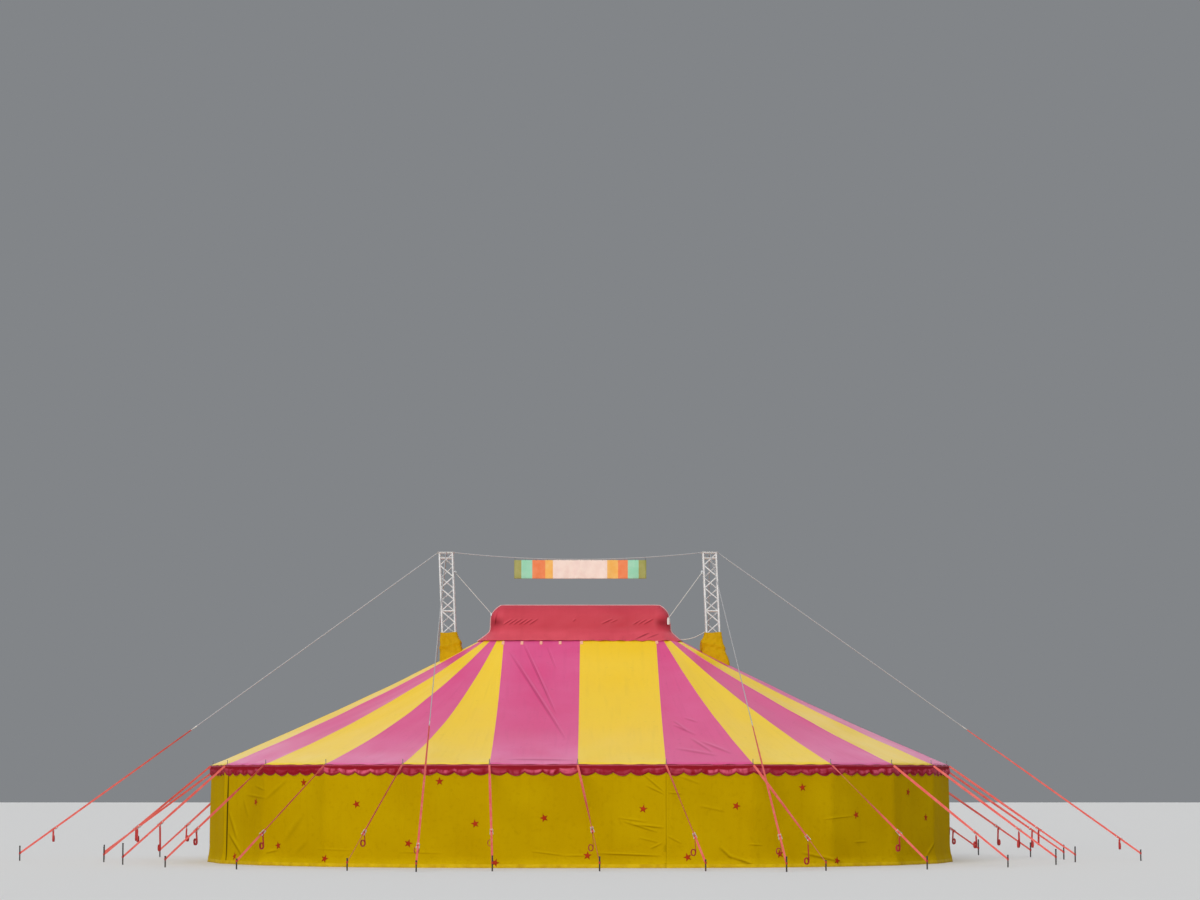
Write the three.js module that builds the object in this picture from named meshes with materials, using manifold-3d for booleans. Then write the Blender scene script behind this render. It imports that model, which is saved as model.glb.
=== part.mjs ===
// Circus big top tent with two masts, striped canvas, closed side walls and a cupola
// Millimetres, +Z up, long axis along X, front towards -Y, origin on the ground at the centre
import * as THREE from 'three';
import { mergeVertices } from 'three/addons/utils/BufferGeometryUtils.js';
import Module from 'manifold-3d';

const wasm = await Module();
wasm.setup();

// Plan: two straight bays on each long side and eleven bays round each end
const END_BAYS = 11;
const BAYS = 26;
const HALF_TURN_BAYS = BAYS / 2;
const END_RADIUS = 7580;
const BAY_WIDTH = 2 * END_RADIUS * Math.sin(Math.PI / (2 * END_BAYS));
const EAVE_HEIGHT = 2520;

// Roof canvas, from the eave up to the ring that the masts hold
const CANVAS_THICKNESS = 22;
const CANVAS_OVERHANG = 55;
const RING_RADIUS = 550;
const RING_HALF_LENGTH = 2020;
const RING_HEIGHT = 5900;
const RING_SPACE_TOP = 4800;
const ROOF_ROWS = 6;
const SAG_FRONT_LEFT = 400;
const SAG_FRONT_RIGHT = 190;
const SAG_ENDS = 90;
const SEAM_GAP = 0.3;

// Side walls, side poles and the rope that carries the walls
const WALL_INSIDE = 30;
const WALL_THICKNESS = 20;
const WALL_TOP = EAVE_HEIGHT - 80;
const WALL_SKIRT_TOP = 500;
const WALL_SKIRT_FLARE = 15;
const WALL_HEM_FLARE = 110;
const WALL_SEAMS = [21, 27, 34, 40, 47];
const WALL_NAMES = ['wall_front', 'wall_right', 'wall_back', 'wall_left'];
const POLE_RADIUS = 25;
const PIN_RADIUS = 9;
const PIN_HOLE_RADIUS = 11;
const PIN_TOP = EAVE_HEIGHT + 130;
const WALL_ROPE_RADIUS = 8;
const WALL_ROPE_HEIGHT = EAVE_HEIGHT - 110;

// Eave belt, scalloped valance and the guys that hold the eave
const BELT_THICKNESS = 12;
const BELT_TOP = EAVE_HEIGHT + 12;
const BELT_BOTTOM = EAVE_HEIGHT - 45;
const VALANCE_THICKNESS = 10;
const VALANCE_DROP = 215;
const SCALLOP_DEPTH = 60;
const SCALLOPS_PER_BAY = 5;
const SCALLOP_STEPS = 2;
const GUY_RUN = 3100;
const STRAP_WIDTH = 50;
const STRAP_THICKNESS = 10;
const STRAP_START_DEPTH = 9.7;
const STRAP_LOW_END = 200;
const STAKE_RADIUS = 22;
const RATCHET_SIZE = [90, 240, 60];
const TAIL_WIDTH = 60;
const TAIL_THICKNESS = 16;
const GUY_GROUPS = ['eave_guys_front', 'eave_guys_right', 'eave_guys_back', 'eave_guys_left'];
const GUY_BREAKS = [21.5, 27.5, 34.5, 40.5, 47.5];
// Eave guys from node -8 at the left, past the front, to node 9 at the right: sideways shift and
// height of the stake, share of the strap above the ratchet, and length of the tail under it
const FIRST_GUY = -8;
const EAVE_GUYS = [
  [120, 400, 0.70, 450], [-150, 400, 0.71, 400], [290, 400, 0.70, 340], [340, 550, 0.64, 700],
  [100, 280, 0.69, 390], [-230, 260, 0.71, 410], [-250, 300, 0.70, 350], [180, 370, 0.69, 360],
  [540, 350, 0.67, 520], [870, 280, 0.73, 490], [710, 250, 0.755, 640], [450, 320, 0.71, 460],
  [320, 310, 0.725, 380], [190, 400, 0.70, 470], [220, 410, 0.71, 430], [330, 400, 0.74, 480],
  [650, 410, 0.725, 500], [1120, 450, 0.775, 400],
];

// Lattice masts, their heads and their guys
const MAST_HEIGHT = 8200;
const MAST_SPACING = 7060;
const MAST_SHIFT = 262;
const MAST_LEAN = 328;
const MAST_WIDTH = 400;
const CHORD_WIDTH = 44;
const BRACE_RADIUS = 15;
const BRACE_PITCH = 350;
const PLATE_THICKNESS = 20;
const FOOT_PLATE_WIDTH = 640;
const HEAD_PLATE_WIDTH = 410;
const CAP_HALF = 230;
const CAP_THICKNESS = 10;
const CABLE_WIDTH = 20;
const MAST_STRAP_START = 0.59;
const MAST_STRAP_SPLICE = 0.01;
// Guys of the right mast and of the left one: place of the stake's foot, its height, share of
// the guy above the ratchet, and length of the tail under it
const MAST_GUYS = {
  right: [
    [[4893, -11300], 360, 0.925, 430],
    [[3728, 11300], 270, 0.95, 200],
    [[14900, 0], 300, 0.95, 300],
  ],
  left: [
    [[-3728, -11300], 270, 0.95, 200],
    [[-4893, 11300], 360, 0.925, 430],
    [[-14900, 0], 400, 0.92, 340],
  ],
};

// Boots that close the canvas round the masts
const BOOT_TOP = 6070;
const BOOT_BOTTOM = 5150;
const BOOT_TOP_HALF = 225;
const BOOT_BOTTOM_HALF = 345;
const BOOT_THICKNESS = 18;

// Cupola: a frame between the masts under a red cover
const COVER_PROFILE = [[724, 5830], [570, 5940], [430, 6060], [390, 6160], [380, 6300], [364, 6430],
  [342, 6530], [296, 6620], [215, 6710], [110, 6785]];
const COVER_THICKNESS = 20;
const COVER_SHOULDER = 6;
const FRAME_TUBE = 50;
const BEAM_DEPTH = 60;
const BEAM_RISE = 20;
const POST_WIDTH = 40;
const FRAME_TOP_RADIUS = 215;
const RIDGE_BAR_DEPTH = 150;
const FRAME_POST_STATIONS = [-2020, -1010, 0, 1010, 2020];

// Hoist lines from the masts to the two ends of the cupola, and the slack rope at the right
const HOIST_RADIUS = 9;
const HOIST_HIGH = 7680;
const SHEAVE_BAR = [30, 396, 30];
// Fittings at the cover's shoulder: size, height of the top, and place round the cover
const LEFT_SHACKLE = [[36, 60, 70], 6580, 19.5];
const RIGHT_PULLEY = [[50, 60, 185], 6450, 4.5];
const SLACK_LINE_PLACE = 6.5;
const SLACK_LINE_LOW = 5880;
const SLACK_LINE_SAG = 60;
const SLACK_LINE_STEPS = 6;

// Ridge cable and banner between the mast heads
const RIDGE_SAG = 180;
const RIDGE_STEPS = 12;
const BANNER_LENGTH = 3540;
const BANNER_HEIGHT = 510;
const BANNER_THICKNESS = 10;

const UP = new THREE.Vector3(0, 0, 1);
const CONTACT_GAP = 0.3;

const YELLOW = { color: 0xebc83c, roughness: 0.6, metalness: 0 };
const PINK = { color: 0xd25a8c, roughness: 0.6, metalness: 0 };
const RED = { color: 0xb0304a, roughness: 0.65, metalness: 0 };
const WEBBING = { color: 0xeb5549, roughness: 0.8, metalness: 0 };
const STEEL = { color: 0x8c8f92, roughness: 0.45, metalness: 0.8 };
const ALUMINIUM = { color: 0xc9ccd0, roughness: 0.35, metalness: 0.9 };

const tent = new THREE.Group();

// Adds one named solid to the tent
function addPiece(name, geometry, finish) {
  const mesh = new THREE.Mesh(geometry, new THREE.MeshStandardMaterial(finish));
  mesh.name = name;
  tent.add(mesh);
}

// Corner of the plan at eave node index, for a stadium of this radius and half length
function planCorner(index, radius, halfLength) {
  const k = ((index % BAYS) + BAYS) % BAYS;
  if (k === 0 || k === HALF_TURN_BAYS) {
    return new THREE.Vector3(0, k === 0 ? -radius : radius, 0);
  }
  const rightEnd = k < HALF_TURN_BAYS;
  const turn = (Math.PI / END_BAYS) * ((rightEnd ? k : k - HALF_TURN_BAYS) - 1);
  const sign = rightEnd ? 1 : -1;
  return new THREE.Vector3(
    sign * (halfLength + radius * Math.sin(turn)), -sign * radius * Math.cos(turn), 0);
}

// Point on the straight side between two corners of the plan
function planPoint(place, radius, halfLength) {
  const from = Math.floor(place + 1e-9);
  const corner = planCorner(from, radius, halfLength);
  return corner.lerp(planCorner(from + 1, radius, halfLength), place - from);
}

// Point this far outside the pole line, at this height
function eavePoint(place, offset, height) {
  return planPoint(place, END_RADIUS + offset, BAY_WIDTH).setZ(height);
}

// Turn of a node away from the front, 0 at the front and the back, 1 at the two ends
function endShare(place) {
  const direction = eavePoint(place, 0, 0);
  return Math.min(1, Math.max(0, Math.abs(direction.x) - BAY_WIDTH) / END_RADIUS);
}

// Sag of the canvas at its middle: deepest at the front left and back left
function canvasSag(place) {
  const leftShare = 0.5 - 0.5 * eavePoint(place, 0, 0).x / (BAY_WIDTH * 2);
  const side = Math.min(1, Math.max(0, leftShare));
  const full = SAG_FRONT_RIGHT + (SAG_FRONT_LEFT - SAG_FRONT_RIGHT) * side;
  return full + (SAG_ENDS - full) * endShare(place) ** 2;
}

// Point on the canvas top: share 0 at the eave, 1 at the ring
function roofPoint(place, share) {
  const eave = eavePoint(place, CANVAS_OVERHANG, EAVE_HEIGHT);
  const ring = planPoint(place, RING_RADIUS, RING_HALF_LENGTH).setZ(RING_HEIGHT);
  const point = eave.lerp(ring, share);
  point.z -= canvasSag(place) * 4 * share * (1 - share);
  return point;
}

// Height of the canvas above the eave edge, this far in from it
function canvasRise(place, inward) {
  const edge = roofPoint(place, 0);
  const next = roofPoint(place, 1 / ROOF_ROWS);
  const run = Math.hypot(next.x - edge.x, next.y - edge.y);
  return (next.z - edge.z) * inward / run;
}

// Closed geometry from vertices and triangles, with its faces turned outwards
function closedBody(vertices, triangles) {
  let volume = 0;
  for (const [a, b, c] of triangles) {
    volume += vertices[a].dot(vertices[b].clone().cross(vertices[c]));
  }
  const ordered = volume < 0 ? triangles.map(([a, b, c]) => [a, c, b]) : triangles;
  const geometry = new THREE.BufferGeometry();
  geometry.setAttribute('position',
    new THREE.Float32BufferAttribute(vertices.flatMap((v) => v.toArray()), 3));
  geometry.setIndex(ordered.flat());
  return geometry;
}

// Shell between two grids of points, closed round its four edges
function sheetBody(outer, inner) {
  const rows = outer.length;
  const columns = outer[0].length;
  const vertices = [...outer.flat(), ...inner.flat()];
  const far = rows * columns;
  const at = (row, column) => row * columns + column;
  const triangles = [];
  const quad = (a, b, c, d) => triangles.push([a, b, c], [a, c, d]);
  for (let row = 0; row < rows - 1; row += 1) {
    for (let column = 0; column < columns - 1; column += 1) {
      const [a, b] = [at(row, column), at(row, column + 1)];
      const [c, d] = [at(row + 1, column + 1), at(row + 1, column)];
      quad(a, b, c, d);
      quad(far + d, far + c, far + b, far + a);
    }
  }
  for (let column = 0; column < columns - 1; column += 1) {
    quad(at(0, column + 1), at(0, column), far + at(0, column), far + at(0, column + 1));
    const [e, f] = [at(rows - 1, column), at(rows - 1, column + 1)];
    quad(e, f, far + f, far + e);
  }
  for (let row = 0; row < rows - 1; row += 1) {
    quad(at(row, 0), at(row + 1, 0), far + at(row + 1, 0), far + at(row, 0));
    const [e, f] = [at(row, columns - 1), at(row + 1, columns - 1)];
    quad(f, e, far + e, far + f);
  }
  return closedBody(vertices, triangles);
}

// Ring whose section is a closed loop of points at each of its stations
function ringBody(stations) {
  const count = stations.length;
  const sides = stations[0].length;
  const triangles = [];
  for (let i = 0; i < count; i += 1) {
    for (let j = 0; j < sides; j += 1) {
      const a = i * sides + j;
      const b = i * sides + ((j + 1) % sides);
      const c = ((i + 1) % count) * sides + ((j + 1) % sides);
      const d = ((i + 1) % count) * sides + j;
      triangles.push([a, b, c], [a, c, d]);
    }
  }
  return closedBody(stations.flat(), triangles);
}

// The same geometry as a solid that can be joined and cut
function toSolid(geometry) {
  const plain = geometry.clone();
  plain.deleteAttribute('normal');
  plain.deleteAttribute('uv');
  const merged = mergeVertices(plain, 0.01);
  return new wasm.Manifold(new wasm.Mesh({
    numProp: 3,
    vertProperties: new Float32Array(merged.attributes.position.array),
    triVerts: new Uint32Array(merged.index.array),
  }));
}

// A joined or cut solid as three.js geometry
function toGeometry(solid) {
  const { vertProperties, triVerts } = solid.getMesh();
  const geometry = new THREE.BufferGeometry();
  geometry.setAttribute('position', new THREE.BufferAttribute(new Float32Array(vertProperties), 3));
  geometry.setIndex(new THREE.BufferAttribute(new Uint32Array(triVerts), 1));
  return geometry;
}

function joined(geometries) {
  return wasm.Manifold.union(geometries.map(toSolid));
}

// Turns a geometry that runs along Y so that it runs from one point to another
function placeAlong(geometry, from, to) {
  const along = to.clone().sub(from).normalize();
  const across = along.clone().cross(UP);
  if (across.lengthSq() < 1e-6) across.set(1, 0, 0);
  across.normalize();
  const normal = across.clone().cross(along);
  const turn = new THREE.Matrix4().makeBasis(across, along, normal);
  turn.setPosition(from.clone().add(to).multiplyScalar(0.5));
  return geometry.applyMatrix4(turn);
}

function flatBar(from, to, width, thickness) {
  return placeAlong(new THREE.BoxGeometry(width, from.distanceTo(to), thickness), from, to);
}

function roundBar(from, to, radius, sides) {
  return placeAlong(
    new THREE.CylinderGeometry(radius, radius, from.distanceTo(to), sides), from, to);
}

function block(size, centre) {
  return new THREE.BoxGeometry(...size).translate(centre.x, centre.y, centre.z);
}

// Where the middle line of a mast is at this height, the right mast having side 1
function mastAxis(side, height) {
  const x = side * MAST_SPACING / 2 + MAST_SHIFT - MAST_LEAN * height / MAST_HEIGHT;
  return new THREE.Vector3(x, 0, height);
}

function mastPoint(side, x, y, height) {
  return mastAxis(side, height).add(new THREE.Vector3(x, y, 0));
}

// Tapered square sleeve or block round a mast, from the boot's foot to its top
function bootLoop(side, height, half) {
  const corners = [[-1, -1], [1, -1], [1, 1], [-1, 1]];
  return corners.map(([x, y]) => mastPoint(side, x * half, y * half, height));
}

function bootBlock(side, growth) {
  const loops = [
    bootLoop(side, RING_SPACE_TOP, BOOT_BOTTOM_HALF + growth),
    bootLoop(side, BOOT_BOTTOM, BOOT_BOTTOM_HALF + growth),
    bootLoop(side, BOOT_TOP, BOOT_TOP_HALF + growth),
  ];
  const triangles = [[0, 2, 1], [0, 3, 2], [8, 9, 10], [8, 10, 11]];
  for (let level = 0; level < 2; level += 1) {
    for (let i = 0; i < 4; i += 1) {
      const a = level * 4 + i;
      const b = level * 4 + ((i + 1) % 4);
      triangles.push([a, b, b + 4], [a, b + 4, a + 4]);
    }
  }
  return closedBody(loops.flat(), triangles);
}

// One canvas strip of the roof between two seams, with holes for the pins and a boot,
// as one body, or as two, the large one first, where the boot is wider than the strip
function roofPanel(bay) {
  const columns = [bay, bay + 0.5, bay + 1];
  const grid = (drop) => Array.from({ length: ROOF_ROWS + 1 }, (_, row) => {
    const share = row / ROOF_ROWS;
    return columns.map((place, column) => {
      const point = roofPoint(place, share);
      const other = roofPoint(bay + (column === 0 ? 1 : 0), share);
      if (column !== 1) point.add(other.sub(point).setLength(SEAM_GAP / 2));
      point.z -= drop;
      return point;
    });
  });
  let solid = toSolid(sheetBody(grid(0), grid(CANVAS_THICKNESS)));
  for (const place of [bay, bay + 1]) {
    const foot = eavePoint(place, 0, WALL_TOP);
    const head = eavePoint(place, 0, PIN_TOP);
    solid = solid.subtract(toSolid(roundBar(foot, head, PIN_HOLE_RADIUS, 6)));
  }
  for (const side of [-1, 1]) {
    solid = solid.subtract(toSolid(bootBlock(side, CONTACT_GAP)));
  }
  const bodies = solid.decompose().sort((a, b) => b.volume() - a.volume());
  return bodies.map(toGeometry);
}

// Wall curtain from one seam to the next, with its hem flared on the ground
function wallCurtain(firstNode, lastNode) {
  const levels = [
    [WALL_TOP, 0],
    [WALL_SKIRT_TOP, WALL_SKIRT_FLARE],
    [0, WALL_HEM_FLARE],
  ];
  const places = [];
  for (let place = firstNode; place <= lastNode; place += 1) places.push(place);
  const gap = SEAM_GAP / 2 / BAY_WIDTH;
  places[0] += gap;
  places[places.length - 1] -= gap;
  const grid = (offset) => levels.map(([height, flare]) =>
    places.map((place) => eavePoint(place, offset + flare, height)));
  return sheetBody(grid(WALL_INSIDE + WALL_THICKNESS), grid(WALL_INSIDE));
}

// Side poles with their pins, joined by the rope that the walls hang from
function sidePoles() {
  const parts = [];
  for (let k = 0; k < BAYS; k += 1) {
    const shoulder = EAVE_HEIGHT + canvasRise(k, CANVAS_OVERHANG - POLE_RADIUS)
      - CANVAS_THICKNESS - CONTACT_GAP;
    parts.push(roundBar(eavePoint(k, 0, 0), eavePoint(k, 0, shoulder), POLE_RADIUS, 6));
    parts.push(roundBar(eavePoint(k, 0, shoulder - POLE_RADIUS), eavePoint(k, 0, PIN_TOP),
      PIN_RADIUS, 4));
  }
  const middle = WALL_INSIDE - CONTACT_GAP - WALL_ROPE_RADIUS;
  const section = [[-1, -1], [1, -1], [1, 1], [-1, 1]];
  const stations = Array.from({ length: BAYS }, (_, k) => section.map(([out, up]) =>
    eavePoint(k, middle + out * WALL_ROPE_RADIUS, WALL_ROPE_HEIGHT + up * WALL_ROPE_RADIUS)));
  parts.push(ringBody(stations));
  return toGeometry(joined(parts));
}

// Depth of the scalloped edge at this share of one scallop
function scallopDepth(share) {
  return SCALLOP_DEPTH * Math.sin(Math.PI * share);
}

// Scalloped valance all round the eave
function valance() {
  const inside = CANVAS_OVERHANG + CONTACT_GAP;
  const outside = inside + VALANCE_THICKNESS;
  const top = BELT_BOTTOM - CONTACT_GAP;
  const steps = SCALLOPS_PER_BAY * SCALLOP_STEPS;
  const stations = [];
  for (let i = 0; i < BAYS * steps; i += 1) {
    const place = i / steps;
    const low = top - VALANCE_DROP - scallopDepth((i % SCALLOP_STEPS) / SCALLOP_STEPS);
    stations.push([
      eavePoint(place, inside, low),
      eavePoint(place, outside, low),
      eavePoint(place, outside, top),
      eavePoint(place, inside, top),
    ]);
  }
  return ringBody(stations);
}

// Numbers of the guy at eave node k; out of the table they repeat the guy across the tent
function guyNumbers(k) {
  const row = EAVE_GUYS[(k - FIRST_GUY + BAYS) % BAYS];
  if (row) return row;
  const [shift, ...others] = EAVE_GUYS[k - HALF_TURN_BAYS - FIRST_GUY];
  return [-shift, ...others];
}

// Where the stake of an eave guy meets the ground
function stakeFoot(k, shift) {
  const edge = eavePoint(k, 0, 0);
  const outward = eavePoint(k, 1000, 0).sub(edge).normalize();
  return edge.add(outward.multiplyScalar(GUY_RUN)).add(new THREE.Vector3(shift, 0, 0));
}

// Ratchet on a strap, the rolled tail of the strap hanging under it, and the strap's stake
function guyFittings(start, end, height, share, tailLength) {
  const centre = start.clone().lerp(end, share);
  const half = end.clone().sub(start).setLength(RATCHET_SIZE[1] / 2);
  const ratchet = flatBar(
    centre.clone().sub(half), centre.clone().add(half), RATCHET_SIZE[0], RATCHET_SIZE[2]);
  const tail = block([TAIL_WIDTH, TAIL_THICKNESS, tailLength],
    centre.clone().setZ(centre.z - tailLength / 2));
  const stake = roundBar(end.clone().setZ(0), end.clone().setZ(height), STAKE_RADIUS, 6);
  return [ratchet, tail, stake];
}

// Eave guys of one side with their stakes, joined by the belt along the eave
function eaveGuys(firstPlace, lastPlace) {
  const beltInside = CANVAS_OVERHANG + CONTACT_GAP;
  const places = [firstPlace + SEAM_GAP / 2 / BAY_WIDTH];
  for (let k = Math.ceil(firstPlace); k < lastPlace; k += 1) places.push(k);
  places.push(lastPlace - SEAM_GAP / 2 / BAY_WIDTH);
  const grid = (offset) => [BELT_TOP, BELT_BOTTOM].map((height) =>
    places.map((place) => eavePoint(place, offset, height)));
  const parts = [sheetBody(grid(beltInside + BELT_THICKNESS), grid(beltInside))];
  for (const k of places.slice(1, -1)) {
    const start = eavePoint(k, beltInside + STRAP_START_DEPTH, EAVE_HEIGHT - 10);
    const [shift, ...fittings] = guyNumbers(k % BAYS);
    const end = stakeFoot(k, shift).setZ(STRAP_LOW_END);
    parts.push(flatBar(start, end, STRAP_WIDTH, STRAP_THICKNESS));
    parts.push(...guyFittings(start, end, ...fittings));
  }
  return toGeometry(joined(parts));
}

// Lattice mast with a foot plate and a head plate
function latticeMast(side) {
  const c = (MAST_WIDTH - CHORD_WIDTH) / 2;
  const parts = [];
  const corners = [[-c, -c], [c, -c], [c, c], [-c, c]];
  for (const [x, y] of corners) {
    parts.push(flatBar(mastPoint(side, x, y, PLATE_THICKNESS / 2),
      mastPoint(side, x, y, MAST_HEIGHT - PLATE_THICKNESS / 2), CHORD_WIDTH, CHORD_WIDTH));
  }
  const braces = Math.floor((MAST_HEIGHT - 100) / BRACE_PITCH);
  for (let i = 0; i < braces; i += 1) {
    const low = 60 + i * BRACE_PITCH;
    corners.forEach(([x, y], face) => {
      const [nextX, nextY] = corners[(face + 1) % 4];
      const [fromX, fromY, toX, toY] = i % 2 ? [nextX, nextY, x, y] : [x, y, nextX, nextY];
      parts.push(roundBar(mastPoint(side, fromX, fromY, low),
        mastPoint(side, toX, toY, low + BRACE_PITCH), BRACE_RADIUS, 3));
    });
  }
  for (const [width, height] of [
    [FOOT_PLATE_WIDTH, PLATE_THICKNESS / 2],
    [HEAD_PLATE_WIDTH, MAST_HEIGHT - PLATE_THICKNESS / 2],
  ]) {
    parts.push(block([width, width, PLATE_THICKNESS], mastAxis(side, height)));
  }
  return toGeometry(joined(parts));
}

// One guy from a mast cap to its stake: a cable, then webbing with a ratchet
function mastGuy(start, [foot, ...fittings]) {
  const end = new THREE.Vector3(...foot, STRAP_LOW_END);
  const change = start.clone().lerp(end, MAST_STRAP_START);
  return [
    flatBar(start, change, CABLE_WIDTH, CABLE_WIDTH),
    flatBar(change.clone().lerp(start, MAST_STRAP_SPLICE), end, STRAP_WIDTH, STRAP_THICKNESS),
    ...guyFittings(start, end, ...fittings),
  ];
}

// The cap on a mast head with its front, back and side guys
function mastGuys(side) {
  const capBottom = MAST_HEIGHT + CONTACT_GAP;
  const centre = mastAxis(side, MAST_HEIGHT).setZ(capBottom + CAP_THICKNESS / 2);
  const cap = block([CAP_HALF * 2, CAP_HALF * 2, CAP_THICKNESS], centre);
  const inset = CAP_HALF - 5;
  const start = (x, y) => centre.clone().add(new THREE.Vector3(x * inset, y * inset, 0));
  const [front, back, end] = side > 0 ? MAST_GUYS.right : MAST_GUYS.left;
  return toGeometry(joined([
    cap,
    ...mastGuy(start(0, -1), front),
    ...mastGuy(start(0, 1), back),
    ...mastGuy(start(side, 0), end),
  ]));
}

// Fabric sleeve that closes the canvas round a mast
function mastBoot(side) {
  const wall = (half) => [
    bootLoop(side, BOOT_BOTTOM, half + BOOT_BOTTOM_HALF - BOOT_TOP_HALF),
    bootLoop(side, BOOT_TOP, half),
  ];
  const [outerLow, outerTop] = wall(BOOT_TOP_HALF);
  const [innerLow, innerTop] = wall(BOOT_TOP_HALF - BOOT_THICKNESS);
  const stations = outerLow.map((point, i) => [point, outerTop[i], innerTop[i], innerLow[i]]);
  return ringBody(stations);
}

// Frame of the cupola: ring beam, cross bars, posts and top rail
function cupolaFrame() {
  const beam = (outside, low, high) => ringBody(Array.from({ length: BAYS }, (_, k) => {
    const inside = outside - FRAME_TUBE;
    return [[inside, low], [outside, low], [outside, high], [inside, high]].map(
      ([radius, height]) => planPoint(k, radius, RING_HALF_LENGTH).setZ(height));
  }));
  const railTop = COVER_PROFILE[COVER_PROFILE.length - 1][1] - COVER_THICKNESS - CONTACT_GAP;
  const parts = [
    beam(RING_RADIUS - SEAM_GAP, RING_HEIGHT - BEAM_DEPTH + BEAM_RISE, RING_HEIGHT + BEAM_RISE),
    beam(FRAME_TOP_RADIUS, railTop - RIDGE_BAR_DEPTH, railTop - RIDGE_BAR_DEPTH + FRAME_TUBE),
  ];
  const railMiddle = railTop - RIDGE_BAR_DEPTH + FRAME_TUBE / 2;
  const postY = FRAME_TOP_RADIUS - FRAME_TUBE / 2;
  const beamHeight = RING_HEIGHT + BEAM_RISE - BEAM_DEPTH / 2;
  for (const x of FRAME_POST_STATIONS) {
    parts.push(block([FRAME_TUBE, RING_RADIUS * 2 - FRAME_TUBE, POST_WIDTH],
      new THREE.Vector3(x, 0, beamHeight)));
    parts.push(block([FRAME_TUBE, FRAME_TOP_RADIUS * 2 - FRAME_TUBE, FRAME_TUBE],
      new THREE.Vector3(x, 0, railMiddle)));
    for (const y of [-postY, postY]) {
      parts.push(block([POST_WIDTH, POST_WIDTH, railMiddle - beamHeight],
        new THREE.Vector3(x, y, (railMiddle + beamHeight) / 2)));
    }
  }
  parts.push(block([RING_HALF_LENGTH * 2, FRAME_TUBE, RIDGE_BAR_DEPTH],
    new THREE.Vector3(0, 0, railTop - RIDGE_BAR_DEPTH / 2)));
  return toGeometry(joined(parts));
}

// Red cover of the cupola, a shell that is open below
function cupolaCover() {
  const loop = (radius, height) => Array.from({ length: BAYS }, (_, k) =>
    planPoint(k, radius, RING_HALF_LENGTH).setZ(height));
  const outer = COVER_PROFILE.map(([radius, height]) => loop(radius, height));
  const inner = COVER_PROFILE.map(([radius, height], i) => loop(radius - COVER_THICKNESS,
    height - (i < COVER_SHOULDER ? 0 : COVER_THICKNESS)));
  const levels = [...inner.reverse(), ...outer];
  const vertices = levels.flat();
  const triangles = [];
  for (let level = 0; level < levels.length - 1; level += 1) {
    for (let k = 0; k < BAYS; k += 1) {
      const a = level * BAYS + k;
      const b = level * BAYS + ((k + 1) % BAYS);
      triangles.push([a, b, b + BAYS], [a, b + BAYS, a + BAYS]);
    }
  }
  const last = (levels.length - 1) * BAYS;
  for (let k = 1; k < BAYS - 1; k += 1) {
    triangles.push([0, k + 1, k], [last, last + k, last + k + 1]);
  }
  return closedBody(vertices, triangles);
}

// Middle line of the ridge cable between the two caps
function ridgePoint(share) {
  const left = mastAxis(-1, MAST_HEIGHT).x + CAP_HALF + CONTACT_GAP;
  const right = mastAxis(1, MAST_HEIGHT).x - CAP_HALF - CONTACT_GAP;
  const height = MAST_HEIGHT + CAP_THICKNESS / 2;
  return new THREE.Vector3(
    left + (right - left) * share, 0, height - RIDGE_SAG * 4 * share * (1 - share));
}

// Square line along points in the plane of the two masts
function hangingLine(points, width) {
  const half = width / 2;
  const section = [[-half, -half], [half, -half], [half, half], [-half, half]];
  const loops = points.map((middle) =>
    section.map(([y, z]) => middle.clone().add(new THREE.Vector3(0, y, z))));
  const triangles = [[0, 1, 2], [0, 2, 3]];
  for (let i = 0; i < points.length - 1; i += 1) {
    for (let j = 0; j < 4; j += 1) {
      const a = i * 4 + j;
      const b = i * 4 + ((j + 1) % 4);
      triangles.push([a, b + 4, b], [a, a + 4, b + 4]);
    }
  }
  const end = (points.length - 1) * 4;
  triangles.push([end, end + 2, end + 1], [end, end + 3, end + 2]);
  return closedBody(loops.flat(), triangles);
}

function ridgeCable() {
  const points = Array.from({ length: RIDGE_STEPS + 1 }, (_, i) => ridgePoint(i / RIDGE_STEPS));
  return hangingLine(points, CABLE_WIDTH);
}

// Radius of the cupola cover at this height
function coverRadius(height) {
  const above = COVER_PROFILE.findIndex(([, level]) => level >= height);
  const [lowRadius, low] = COVER_PROFILE[above - 1];
  const [highRadius, high] = COVER_PROFILE[above];
  return lowRadius + (highRadius - lowRadius) * (height - low) / (high - low);
}

// Middle of the cover's outer face at this place and height, and the way it faces
function coverFace(place, height) {
  const face = planPoint(place, coverRadius(height), RING_HALF_LENGTH).setZ(height);
  const farther = planPoint(place, 2 * coverRadius(height), RING_HALF_LENGTH).setZ(height);
  return [face, farther.sub(face).normalize()];
}

// Taut line from a sheave bar on a mast to the shackle or pulley at the cover's shoulder
function hoistLine(side, [size, top, place]) {
  const nearest = HOIST_HIGH + side * SHEAVE_BAR[2] / 2;
  const edge = mastAxis(side, nearest).x - side * MAST_WIDTH / 2;
  const bar = new THREE.Vector3(
    edge - side * (CONTACT_GAP + SHEAVE_BAR[0] / 2), 0, HOIST_HIGH);
  const [face, facing] = coverFace(place, top - size[2]);
  const lineEnd = face.add(facing.clone().setLength(CONTACT_GAP + size[0] / 2)).setZ(top - 10);
  const fitting = new THREE.BoxGeometry(...size).rotateZ(Math.atan2(facing.y, facing.x))
    .translate(lineEnd.x, lineEnd.y, top - size[2] / 2);
  return toGeometry(joined([
    block(SHEAVE_BAR, bar), fitting, roundBar(bar, lineEnd, HOIST_RADIUS, 6)]));
}

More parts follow.
